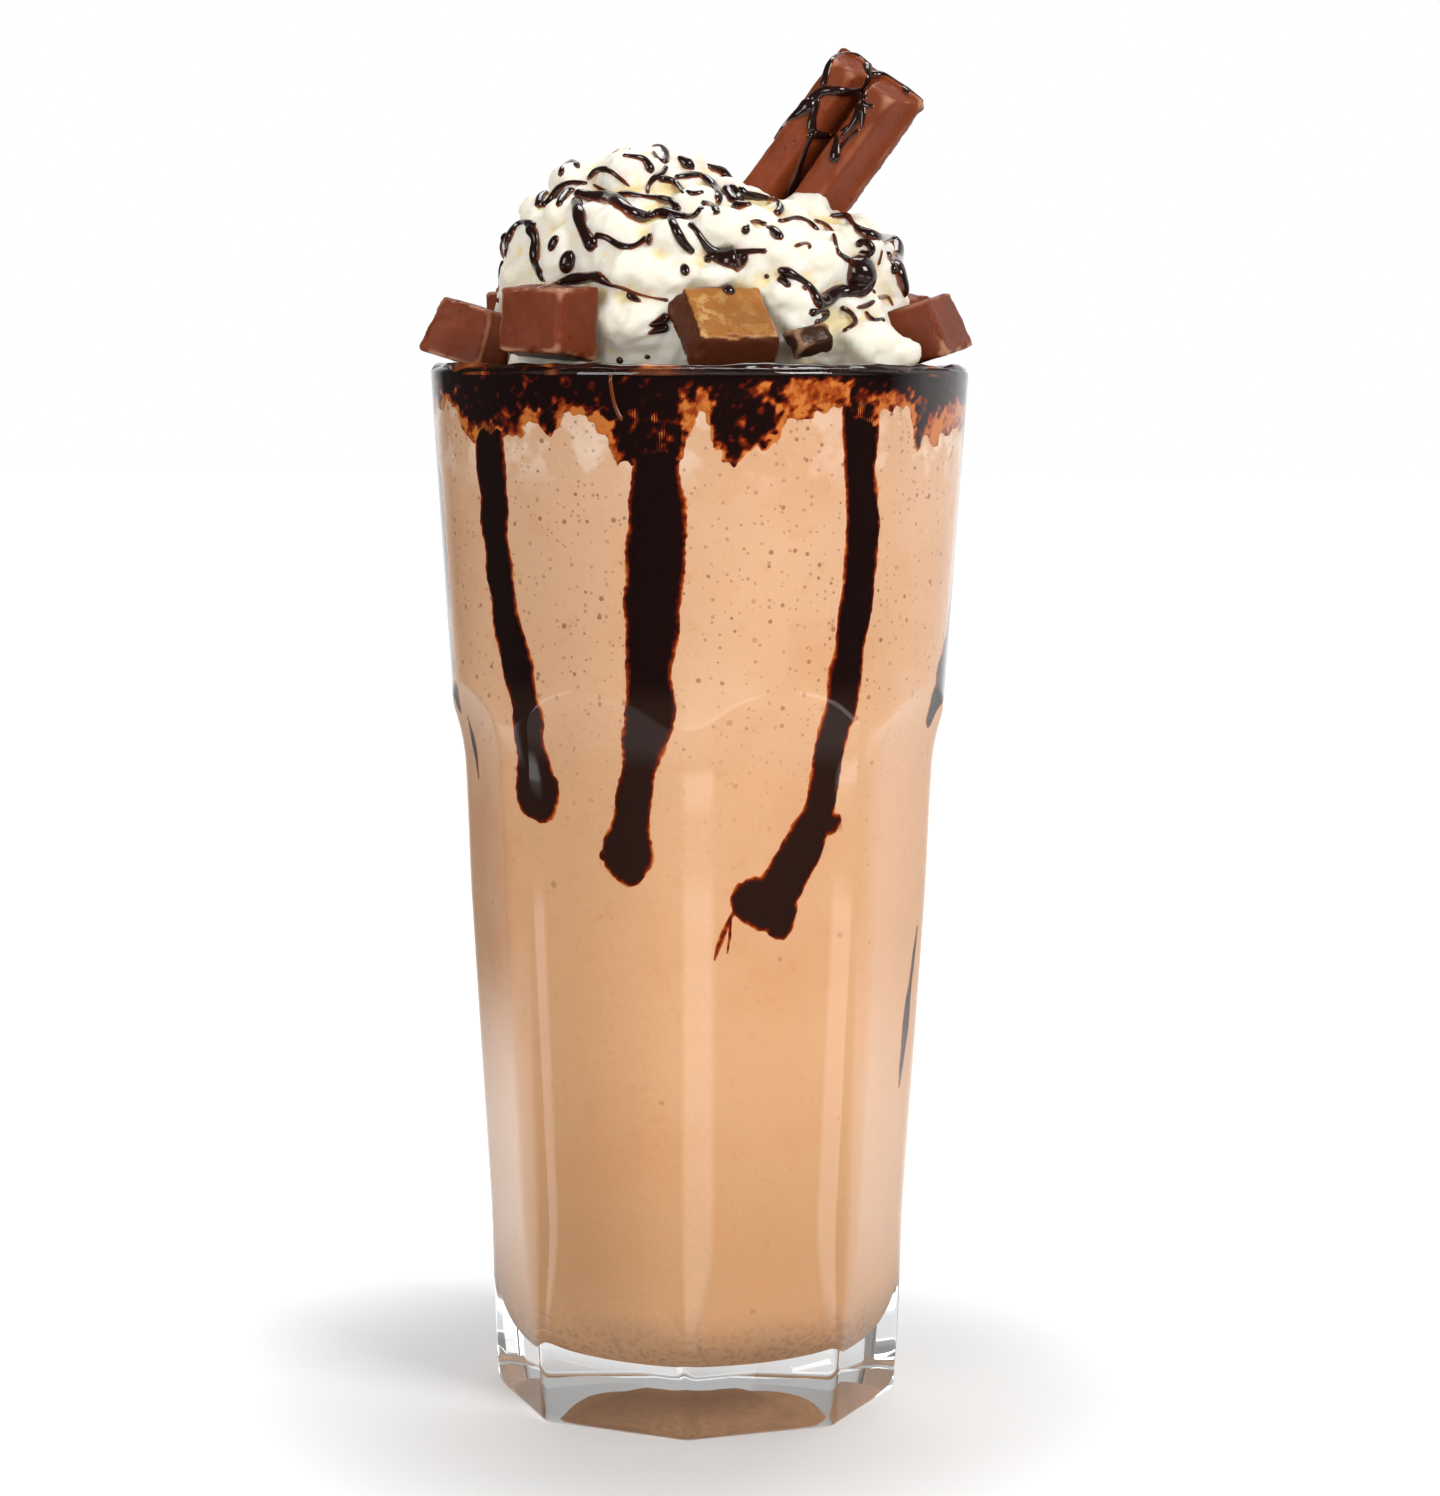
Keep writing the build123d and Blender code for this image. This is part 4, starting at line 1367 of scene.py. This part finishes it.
# Strands on the cream as seen from the front: lists of (across, height, half width) in mm, from one end to the other.
STRANDS = [
    [(-26.4, 203.6, 0.4), (-26.1, 205.6, 0.5), (-24.8, 206.6, 0.4)],
    [(-25.8, 203.8, 0.4), (-24.2, 205, 0.5), (-23.4, 206.6, 0.5), (-21.2, 207.8, 0.4), (-18.4, 207.6, 0.4)],
    [(-23.3, 203.8, 0.35), (-22.2, 205.8, 0.5), (-20.4, 206.8, 0.5)],
    [(-20.6, 206.2, 0.5), (-18.2, 205.6, 0.7), (-16.6, 205.2, 0.95), (-14.4, 205, 1.0), (-12.6, 203.6, 1.05),
     (-10, 202.2, 0.9), (-8.4, 202.4, 0.7), (-6.4, 203, 0.6), (-4.4, 202.4, 0.6), (-1, 202.4, 0.5),
     (0.4, 203.8, 0.4)],
    [(-18.4, 205.8, 0.4), (-15, 205.4, 0.45), (-12, 205.9, 0.5), (-10, 205.7, 0.4), (-6.4, 205.2, 0.45),
     (-4.2, 204.6, 0.4), (-3.6, 203, 0.4)],
    [(-20.3, 205, 0.6), (-19.8, 203, 0.7), (-19.4, 201.1, 0.65), (-18.6, 199.2, 0.7), (-17.5, 197.6, 1.0),
     (-16.8, 197.4, 0.6)],
    [(-17.2, 199.3, 0.45), (-15.6, 199.2, 0.4), (-13.5, 197.8, 0.45), (-11.6, 197.3, 0.5), (-10, 197.9, 0.45),
     (-8.6, 199.2, 0.4)],
    [(-18.4, 208.2, 0.3), (-17.3, 209.5, 0.5), (-15.7, 210.1, 0.5), (-14.3, 209.5, 0.4), (-12.7, 208.2, 0.25),
     (-11.5, 207.2, 0.12)],
    [(-17.6, 207.6, 0.2), (-15.7, 206.5, 0.25), (-14.8, 206.1, 0.15)],
    [(-22.8, 208.7, 0.35), (-22.8, 209.8, 0.4), (-21.9, 210.8, 0.4), (-20.6, 211.3, 0.45), (-19.8, 210.1, 0.4)],
    [(-14.6, 212.4, 0.15), (-13.2, 213.3, 0.2)],
    [(-12.8, 212.3, 0.35), (-10.8, 212, 0.5), (-9.2, 211.7, 0.5), (-8.3, 210.3, 0.5), (-8, 209.3, 0.3)],
    [(-11.4, 214.1, 0.2), (-11.6, 212.8, 0.3)],
    [(-8, 213.6, 0.3), (-6.5, 213.8, 0.4), (-5.3, 212.5, 0.45), (-5.9, 210.9, 0.5), (-7, 211.7, 0.35),
     (-7.8, 213, 0.3)],
    [(-5.5, 210.7, 0.3), (-6.2, 209.3, 0.3), (-7.6, 208.7, 0.3), (-8.7, 207.1, 0.3), (-8.6, 206, 0.3)],
    [(-7, 208.4, 0.4), (-5.1, 208.4, 0.5), (-3.8, 207.6, 0.5), (-2.9, 206.3, 0.5), (-2.4, 205.7, 0.4)],
    [(-4.3, 208.7, 0.4), (-1.9, 209, 0.5), (0.3, 209, 0.45), (2.2, 207.4, 0.5), (2.8, 205.8, 0.55),
     (2.5, 204.6, 0.4)],
    [(-3.7, 207.4, 0.3), (-2.9, 206.6, 0.4), (-1, 206, 0.4), (0.6, 206.5, 0.3)],
    [(-3.7, 212.2, 0.3), (-2.2, 210.9, 0.7), (-1, 210, 0.4)],
    [(-5.1, 202.4, 0.45), (-4, 200.3, 0.5), (-2.6, 197.9, 0.5), (-1, 196.5, 0.3)],
    [(-1.8, 201.4, 0.5), (-0.5, 199.8, 0.5), (1.7, 197, 0.5), (3.9, 196.6, 0.5), (6.6, 196.7, 0.5),
     (8.8, 196.9, 0.5), (11, 196.9, 0.5)],
    [(0.6, 195.5, 0.3), (1.6, 196, 0.5), (3.4, 195.6, 1.2), (5.2, 195.1, 1.9), (6.8, 195.4, 1.3),
     (7.8, 196.4, 0.5)],
    [(-31.7, 195.7, 0.3), (-31.4, 198.1, 0.6), (-30.6, 199.8, 0.6), (-29.3, 201.4, 0.4), (-28.2, 201.4, 0.4),
     (-26.8, 200.3, 0.5)],
    [(-27.9, 200.8, 0.7), (-26.8, 198.7, 0.65), (-27.1, 196.5, 0.6), (-26.6, 194.3, 0.65), (-25.5, 192.7, 0.65),
     (-25.7, 191.9, 0.5)],
    [(-26.8, 190.5, 0.25), (-24.1, 191.3, 0.3), (-21.7, 192, 0.55), (-19, 192.4, 0.85), (-16.2, 192.6, 0.7),
     (-14.8, 191.4, 0.3), (-13.2, 191, 0.2), (-11.3, 190.2, 0.2), (-8.6, 189.4, 0.2), (-5.1, 188.8, 0.2)],
    [(-12, 190, 0.35), (-11, 189.2, 0.5), (-9.6, 188.5, 0.35)],
    [(-36, 190.3, 0.2), (-34.1, 191.3, 0.25)],
    [(-8.4, 184.8, 0.3), (-6.4, 185.3, 0.55), (-5.1, 186.6, 0.5)],
    [(-8.6, 183.4, 0.3), (-6.2, 184.2, 0.5), (-5, 184.4, 0.5)],
    [(0, 204.6, 0.35), (1.9, 204.2, 0.35), (2.8, 203, 0.4)],
    [(4.1, 207.6, 0.5), (5, 205.2, 0.6), (6.4, 204.4, 0.6), (6, 206.2, 0.5), (4.7, 207.6, 0.4)],
    [(6.4, 207.4, 0.4), (6.9, 206, 0.5), (9.3, 205.7, 0.5), (11.8, 205.2, 0.45), (13.1, 204.6, 0.45),
     (13.2, 203.3, 0.45), (12.2, 202.8, 0.4)],
    [(5, 204, 0.6), (6.6, 204, 0.95), (8.4, 204.4, 0.6)],
    [(12.6, 201.7, 0.3), (14.2, 201.8, 0.35), (15.8, 202.3, 0.35), (17.5, 201.7, 0.4), (19.1, 200.3, 0.6)],
    [(18.5, 201.9, 0.3), (20.7, 201.1, 0.35), (21.8, 199.7, 0.35), (22.1, 197.6, 0.35), (22.4, 196.5, 0.35),
     (24.3, 195.4, 0.35), (25.6, 194.9, 0.4)],
    [(7.4, 200.4, 0.5), (8, 201.6, 0.4), (9.4, 201.8, 0.4), (10.8, 200.9, 0.45)],
    [(11.2, 200.6, 0.45), (12.6, 199.7, 0.55), (13.3, 198.6, 0.55)],
    [(15.3, 197.7, 0.2), (16.1, 197.8, 0.25), (17.5, 198.5, 0.2), (18.3, 197.8, 0.25), (17.8, 197.2, 0.15)],
    [(21, 202.5, 0.25), (22.9, 202.6, 0.4), (24.3, 202.7, 0.5), (24.8, 201.4, 0.6), (25.9, 200.3, 0.6),
     (27.8, 199.5, 0.65), (29.7, 198.9, 0.6), (31.3, 199.2, 0.5)],
    [(31, 199.4, 0.7), (32.1, 197.6, 1.0), (31.9, 194.9, 1.0), (32.7, 192.7, 0.9), (33.5, 190.5, 0.7),
     (33.5, 189.4, 0.4)],
    [(30.5, 197, 0.5), (31.3, 194.9, 0.6), (31.9, 193.2, 0.5)],
    [(25.6, 197.6, 0.35), (26.4, 198.7, 0.4), (27.8, 198.1, 0.4), (28.3, 197, 0.4), (27.2, 196.2, 0.4),
     (25.9, 196.8, 0.3)],
    [(29.7, 197.3, 0.25), (29.4, 196, 0.3), (29.2, 194.6, 0.3)],
    [(27.2, 196, 0.6), (26.9, 193, 1.0), (25.9, 190.8, 1.0), (22.9, 190.2, 0.7), (21.5, 190.5, 0.5)],
    [(26.6, 196.2, 0.8), (26.4, 194.4, 1.6), (25.7, 192.6, 1.7), (24.4, 191, 0.9)],
    [(24.2, 191, 0.6), (22.1, 190.2, 0.8), (20.7, 189.2, 0.9), (19.4, 188.1, 0.9), (18.6, 190, 0.7),
     (17.5, 191.6, 0.6), (15.8, 192.7, 0.5), (14.2, 193.5, 0.5), (12.6, 193.9, 0.3)],
    [(12.8, 192.7, 0.4), (14.8, 191, 0.65)],
    [(16.7, 191.3, 0.35), (17.5, 190.5, 0.35)],
    [(17.8, 186.7, 0.5), (19.4, 187.3, 0.5), (21, 187, 0.5), (20.1, 185.8, 0.5), (18.7, 185.2, 0.45)],
    [(22.9, 187.8, 0.25), (24.3, 187.4, 0.3), (25.6, 185.9, 0.35), (25.6, 185, 0.35), (24.3, 184.3, 0.3),
     (23.4, 183.7, 0.3)],
    [(25.6, 187.8, 0.25), (27.5, 188.1, 0.3), (28.9, 189.2, 0.3), (30.8, 189.8, 0.3), (31.6, 188, 0.3)],
    [(27, 187.2, 0.3), (28.6, 185.4, 0.4), (30.2, 185.9, 0.35)],
]
# Drops on the cream and the golden chunk: (across, height, half width, half height, lean in degrees), seen as above.
DROPS = [
    (-24, 198, 0.9, 1.5, -25), (-21.7, 195, 1.35, 2.0, -18), (-33.6, 193.3, 0.7, 1.4, 0),
    (-2.5, 193.8, 0.8, 1.15, 20), (-8.2, 198.7, 1.0, 1.1, 0), (4.7, 190.5, 1.15, 1.15, 0),
    (28.4, 190.4, 0.5, 0.5, 0), (2.7, 203.1, 0.65, 0.6, 0), (7.4, 200.3, 0.85, 0.75, 0),
    (-20.2, 210.6, 0.6, 0.7, 20), (10.9, 192.8, 0.45, 0.4, 0), (1.2, 195.2, 0.6, 0.5, 0), (-2, 210.8, 0.9, 0.7, 0),
    (18.8, 200.6, 0.8, 0.6, -20), (-13.1, 179, 0.7, 0.6, 0), (-8.6, 179.6, 0.5, 0.4, 0),
]
# The net of sauce on the bar, seen as above.
BAR_STRANDS = [
    [(19.8, 223.2, 0.4), (20.4, 225.2, 0.35), (20.8, 227.2, 0.35), (22, 228.6, 0.35), (24, 228.9, 0.25),
     (26, 229, 0.4), (27.4, 228.2, 0.35), (28.2, 227, 0.3)],
    [(17.8, 220.8, 0.8), (19, 222.2, 0.7), (20.4, 222.9, 0.55), (22.2, 222.8, 0.5), (24.2, 222.7, 0.55),
     (26, 222.9, 0.6), (27.4, 223.8, 0.5)],
    [(26, 222.8, 0.5), (27, 224.4, 0.5), (27.4, 226, 0.5), (26.8, 227.6, 0.4)],
    [(27.6, 225.4, 0.4), (29.2, 225.6, 0.4), (31, 225, 0.4), (32.4, 224, 0.4), (34.2, 223.6, 0.45),
     (36, 222.6, 0.35), (37, 221.4, 0.25)],
    [(33, 223.8, 0.3), (33.6, 222.4, 0.35), (34.2, 222.2, 0.2)],
    [(18.6, 221.6, 0.6), (17.4, 220.2, 1.0), (16, 219.2, 0.75), (14.6, 218.2, 0.5), (13, 216.8, 0.35),
     (11.4, 215.2, 0.25)],
    [(19, 222, 0.5), (18.7, 220.4, 0.5), (18.3, 218.8, 0.45), (18, 217.2, 0.5), (18.2, 215.8, 0.6)],
    [(26, 222.9, 0.55), (25.9, 221, 0.5), (25.7, 219.2, 0.55), (25, 217.4, 0.5), (23.8, 216.2, 0.5),
     (22.8, 215, 0.45)],
    [(18, 216, 0.5), (19.8, 215.7, 0.45), (21.6, 215.7, 0.45), (23, 216.2, 0.5), (24.6, 217.2, 0.4)],
    [(18.2, 216.2, 0.6), (17.6, 214.8, 0.6), (16.8, 212.8, 0.55), (16.2, 211, 0.55), (15.6, 209, 0.65),
     (15, 207.4, 0.65), (14.5, 206, 0.6), (14.3, 205.2, 0.4)],
    [(22.2, 215.8, 0.5), (22.2, 214, 0.5), (22, 212.4, 0.5), (21.8, 211, 0.3)],
    [(22.3, 213, 0.35), (23.6, 214.6, 0.4), (25, 215.8, 0.4), (26, 216.8, 0.3)],
    [(26, 221, 0.5), (27.2, 220.3, 0.4), (28.4, 220.4, 0.2)],
    [(26.2, 220.8, 0.45), (26.6, 219.2, 0.5), (26.3, 217.8, 0.4), (26.5, 216.6, 0.25)],
    [(27.4, 223.6, 0.4), (27, 222.2, 0.35), (26.4, 221, 0.4)],
]
# Threads over the lip: lists of (azimuth in degrees, height in mm, half width in mm), outside the glass.
LIP_THREADS = [
    [(-18.6, 178.6, 0.3), (-18.2, 176.4, 0.3), (-17.8, 173.6, 0.28), (-17, 171.2, 0.3), (-15.8, 169.4, 0.38)],
    [(121, 178.5, 0.35), (121.5, 175, 0.3), (120.5, 171, 0.32), (121, 166.5, 0.5)],
    [(202, 178.5, 0.35), (201.5, 174.6, 0.3), (202.5, 172, 0.45)],
]


class Skin:
    """Meshes of finished pieces, joined for casting rays on them."""

    def __init__(self, *names):
        vertices, faces, start = [], [], 0
        for name in names:
            mesh = bpy.data.objects[name].data
            points = of_vertices(mesh, "co")
            vertices += points.tolist()
            faces += [tuple(start + index for index in polygon.vertices) for polygon in mesh.polygons]
            start += len(points)
        self.tree = BVHTree.FromPolygons(vertices, faces)

    def cast(self, origins, aims):
        """Where rays from origins through aims meet the skin. Where one misses, the nearest point on the skin to
        the ray at the depth of the point before."""
        places, outs = [], []
        last = 0.0
        for origin, aim in zip(origins, aims):
            start, target = Vector(origin), Vector(aim)
            place, out, _, _ = self.tree.ray_cast(start, (target - start).normalized())
            if place is None:
                beside = start + (target - start) * ((last - start.y) / (target.y - start.y))
                place, out, _, _ = self.tree.find_nearest(beside)
            last = place.y
            places.append(place[:])
            outs.append(out[:])
        return np.array(places), np.array(outs)


def curve_through(points):
    """Points a step apart on a smooth curve through the given ones (Catmull and Rom's cubic between each two)."""
    points = np.asarray(points, dtype=float)
    padded = np.concatenate([[2 * points[0] - points[1]], points, [2 * points[-1] - points[-2]]])
    pieces = []
    for a, b, c, d in zip(padded, padded[1:], padded[2:], padded[3:]):
        count = max(2, int(np.linalg.norm((c - b)[:2]) / STRAND_STEP))
        t = np.linspace(0, 1, count, endpoint=False)[:, None]
        square, cube = 2 * a - 5 * b + 4 * c - d, 3 * b - a - 3 * c + d
        pieces.append(0.5 * (2 * b + (c - a) * t + square * t**2 + cube * t**3))
    return np.concatenate(pieces + [points[-1:]])


def smoothed(values, rounds):
    """Values after each has been averaged with its neighbours a number of times; the ends stay."""
    values = np.array(values)
    for _ in range(rounds):
        values[1:-1] = (values[:-2] + 2 * values[1:-1] + values[2:]) / 4
    return values


def unit(vectors):
    """Vectors brought to length 1."""
    return vectors / np.linalg.norm(vectors, axis=-1, keepdims=True)


def strand_grid(places, outs, width, rise):
    """A strand along places on a surface: its section is half an ellipse above, as high as rise times its half
    width, and a flat half ellipse below; the width runs out in round ends."""
    places, outs = smoothed(places, 10), unit(smoothed(outs, 16))
    along = unit(np.gradient(places, axis=0))
    side = unit(np.cross(along, outs))
    outs = np.cross(side, along)
    run = np.concatenate([[0], np.cumsum(np.linalg.norm(np.diff(places, axis=0), axis=1))])
    end = np.clip(np.minimum(run, run[-1] - run) / np.maximum(width, 1e-6), 0, 1)
    width = np.maximum(width * np.sqrt(1 - (1 - end) ** 2), 0.03 * MM)
    turn = np.linspace(0, 2 * math.pi, 15)[:-1]
    up = np.where(np.sin(turn) > 0, rise * np.sin(turn), 0.4 * np.sin(turn))
    points = places[:, None] + width[:, None, None] * (
        side[:, None] * np.cos(turn)[None, :, None] + outs[:, None] * up[None, :, None]
    )
    depth = np.clip(width[:, None] / (0.55 * MM), 0.25, 1.3) * np.clip(0.1 + np.sin(turn)[None, :], 0.02, 1)
    return points, places[0] - along[0] * 0.02 * MM, places[-1] + along[-1] * 0.02 * MM, depth


def drop_grid(place, out, wide, high, lean):
    """A drop on a surface: a ball stretched to two half widths in the surface and flattened against it."""
    out = unit(out)
    up = unit(np.array([0, 0, 1.0]) - out * out[2])
    side = np.cross(up, out)
    cos, sin = math.cos(lean), math.sin(lean)
    first, second = side * cos + up * sin, up * cos - side * sin
    tilt, turn = ball_angles(14, 25)
    tall = 0.75 * min(wide, high)
    proud = np.where(tilt > 0, tall, 0.4 * tall) * np.sin(tilt) + 0 * turn
    points = (
        place + (wide * np.cos(tilt) * np.cos(turn))[..., None] * first
        + (high * np.cos(tilt) * np.sin(turn))[..., None] * second + proud[..., None] * out
    )
    depth = np.clip(0.35 + proud / tall, 0.05, 1.2)
    return points, place - 0.4 * tall * out, place + tall * out, depth


def sauce_piece(name, grids, material):
    """One piece from strands and drops, with how deep the sauce is on each vertex."""
    vertices, faces = joined([grid[:3] for grid in grids])
    piece = new_piece(name, vertices, faces)
    depth = np.concatenate([np.concatenate([grid[3].ravel(), [0.3, 0.6]]) for grid in grids])
    store(piece.data, "depth", depth)
    finish_piece(piece, material, "dark_chocolate")


def strand_from_front(skin, eye, strand, swell, rise):
    """A strand drawn on the front plane, where it falls on the skin as seen from the eye."""
    across, height, width = curve_through(strand).T
    width = swell * width * (1 + 0.14 * waves(np.stack([across, height, 0 * across], axis=1), 4.5, 70))
    aims = np.stack([across, np.full_like(across, FRONT_PLANE), height], axis=1) * MM
    places, outs = skin.cast(np.broadcast_to(eye, aims.shape), aims)
    return strand_grid(places, outs, width * MM, rise)


def cast_inwards(skin, azimuth, height):
    """Where level rays from outside, at azimuths in degrees and heights in mm, meet the skin."""
    origins = np.atleast_2d(on_circle(CAST_RADIUS, np.radians(azimuth), height * MM))
    return skin.cast(origins, origins * [0, 0, 1])


def strand_from_outside(skin, azimuths, heights, widths, girth, rise):
    """A strand through azimuths in degrees, heights and half widths in mm, cast level on the skin from outside. The
    curve is drawn as if a degree were girth mm wide."""
    across, height, width = curve_through(np.stack([azimuths * girth, heights, widths], axis=1)).T
    places, outs = cast_inwards(skin, across / girth, height)
    return strand_grid(places, outs, width * MM, rise)


def strands_behind(skin, rise):
    """Strands and drops for the sides and the back: each wanders on the cream from a seeded start, by turns of a
    slowly changing direction, and is cast on it level from outside."""
    rng = np.random.default_rng(57)
    grids = []
    for _ in range(STRANDS_BEHIND):
        azimuth = rng.uniform(*BEHIND)
        height = rng.uniform(189, 212)
        heading, bend = rng.uniform(-0.9, 0.9), rng.uniform(-0.5, 0.5)
        turn = heading + np.cumsum(rng.normal(bend, 0.55, 8))
        reach = 16 + (214 - height)
        azimuths = azimuth + np.cumsum(np.cos(turn)) * 130 / reach
        heights = np.clip(height + np.cumsum(np.sin(turn)) * 1.7, 184, 213)
        widths = rng.uniform(0.35, 0.75) * (1 + 0.5 * np.sin(np.linspace(0, 6, 8) + rng.uniform(0, 6)))
        grids.append(strand_from_outside(skin, azimuths, heights, widths, CREAM_GIRTH, rise))
    for _ in range(DROPS_BEHIND):
        places, outs = cast_inwards(skin, rng.uniform(*BEHIND), rng.uniform(186, 210))
        grids.append(drop_grid(places[0], outs[0], rng.uniform(0.5, 1.2) * MM, rng.uniform(0.6, 1.7) * MM, 0.2))
    return grids


class MILKSHAKE_OT_drizzle(bpy.types.Operator):
    """Drizzles sauce over the cream, the golden chunk, the bar and the lip"""

    bl_idname = "milkshake.drizzle"
    bl_label = "Drizzle"

    def execute(self, context):
        scene = context.scene
        look = scene.sauce_look
        eye = np.array([0, -scene.studio_look.distance, scene.studio_look.eye_height])
        material = bpy.data.materials["chocolate_sauce"]
        chunks = [piece.name for piece in scene.objects if piece.name.startswith("chunk_")]
        cream = Skin("cream_swirls", *chunks)
        rise = look.strand_rise
        grids = [strand_from_front(cream, eye, strand, CREAM_STRAND_SWELL, rise) for strand in STRANDS]
        for across, height, wide, high, lean in DROPS:
            places, outs = cream.cast([eye], [np.array([across, FRONT_PLANE, height]) * MM])
            grids.append(drop_grid(places[0], outs[0], wide * MM, high * MM, math.radians(lean)))
        sauce_piece("drizzle_on_cream", grids, material)
        sauce_piece("drizzle_behind", strands_behind(Skin("cream_swirls"), rise), material)
        bar = Skin("bar_two_fingers")
        grids = [strand_from_front(bar, eye, strand, BAR_STRAND_SWELL, 0.8 * rise) for strand in BAR_STRANDS]
        sauce_piece("sauce_on_bar", grids, material)
        outside = Skin("tumbler_glass")
        grids = [strand_from_outside(outside, *np.array(thread).T, LIP_GIRTH, rise) for thread in LIP_THREADS]
        sauce_piece("threads_over_lip", grids, material)
        return {"FINISHED"}


# ---- Panel and registration -------------------------------------------------------------------------------------
OPERATORS = [
    MILKSHAKE_OT_stage,
    MILKSHAKE_OT_tumbler,
    MILKSHAKE_OT_drink,
    MILKSHAKE_OT_sauce_on_glass,
    MILKSHAKE_OT_pool,
    MILKSHAKE_OT_cream,
    MILKSHAKE_OT_chunks,
    MILKSHAKE_OT_bar,
    MILKSHAKE_OT_drizzle,
]
GROUPS = {
    "tumbler_sizes": TumblerSizes,
    "drink_look": DrinkLook,
    "sauce_look": SauceLook,
    "cream_look": CreamLook,
    "chocolate_look": ChocolateLook,
    "studio_look": StudioLook,
}


class MILKSHAKE_PT_panel(bpy.types.Panel):
    """Lists the operators in the order in which they are run"""

    bl_idname = "MILKSHAKE_PT_panel"
    bl_label = "Milkshake"
    bl_space_type = "VIEW_3D"
    bl_region_type = "UI"
    bl_category = "Milkshake"

    def draw(self, context):
        for operator in OPERATORS:
            self.layout.operator(operator.bl_idname)


def register():
    for group in GROUPS.values():
        bpy.utils.register_class(group)
    for name, group in GROUPS.items():
        setattr(bpy.types.Scene, name, PointerProperty(type=group))
    for operator in OPERATORS:
        bpy.utils.register_class(operator)
    bpy.utils.register_class(MILKSHAKE_PT_panel)


def unregister():
    bpy.utils.unregister_class(MILKSHAKE_PT_panel)
    for operator in reversed(OPERATORS):
        bpy.utils.unregister_class(operator)
    for name, group in GROUPS.items():
        delattr(bpy.types.Scene, name)
        bpy.utils.unregister_class(group)


def main():
    """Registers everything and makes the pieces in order."""
    register()
    for operator in OPERATORS:
        group, name = operator.bl_idname.split(".")
        getattr(getattr(bpy.ops, group), name)()


if __name__ == "__main__":
    main()
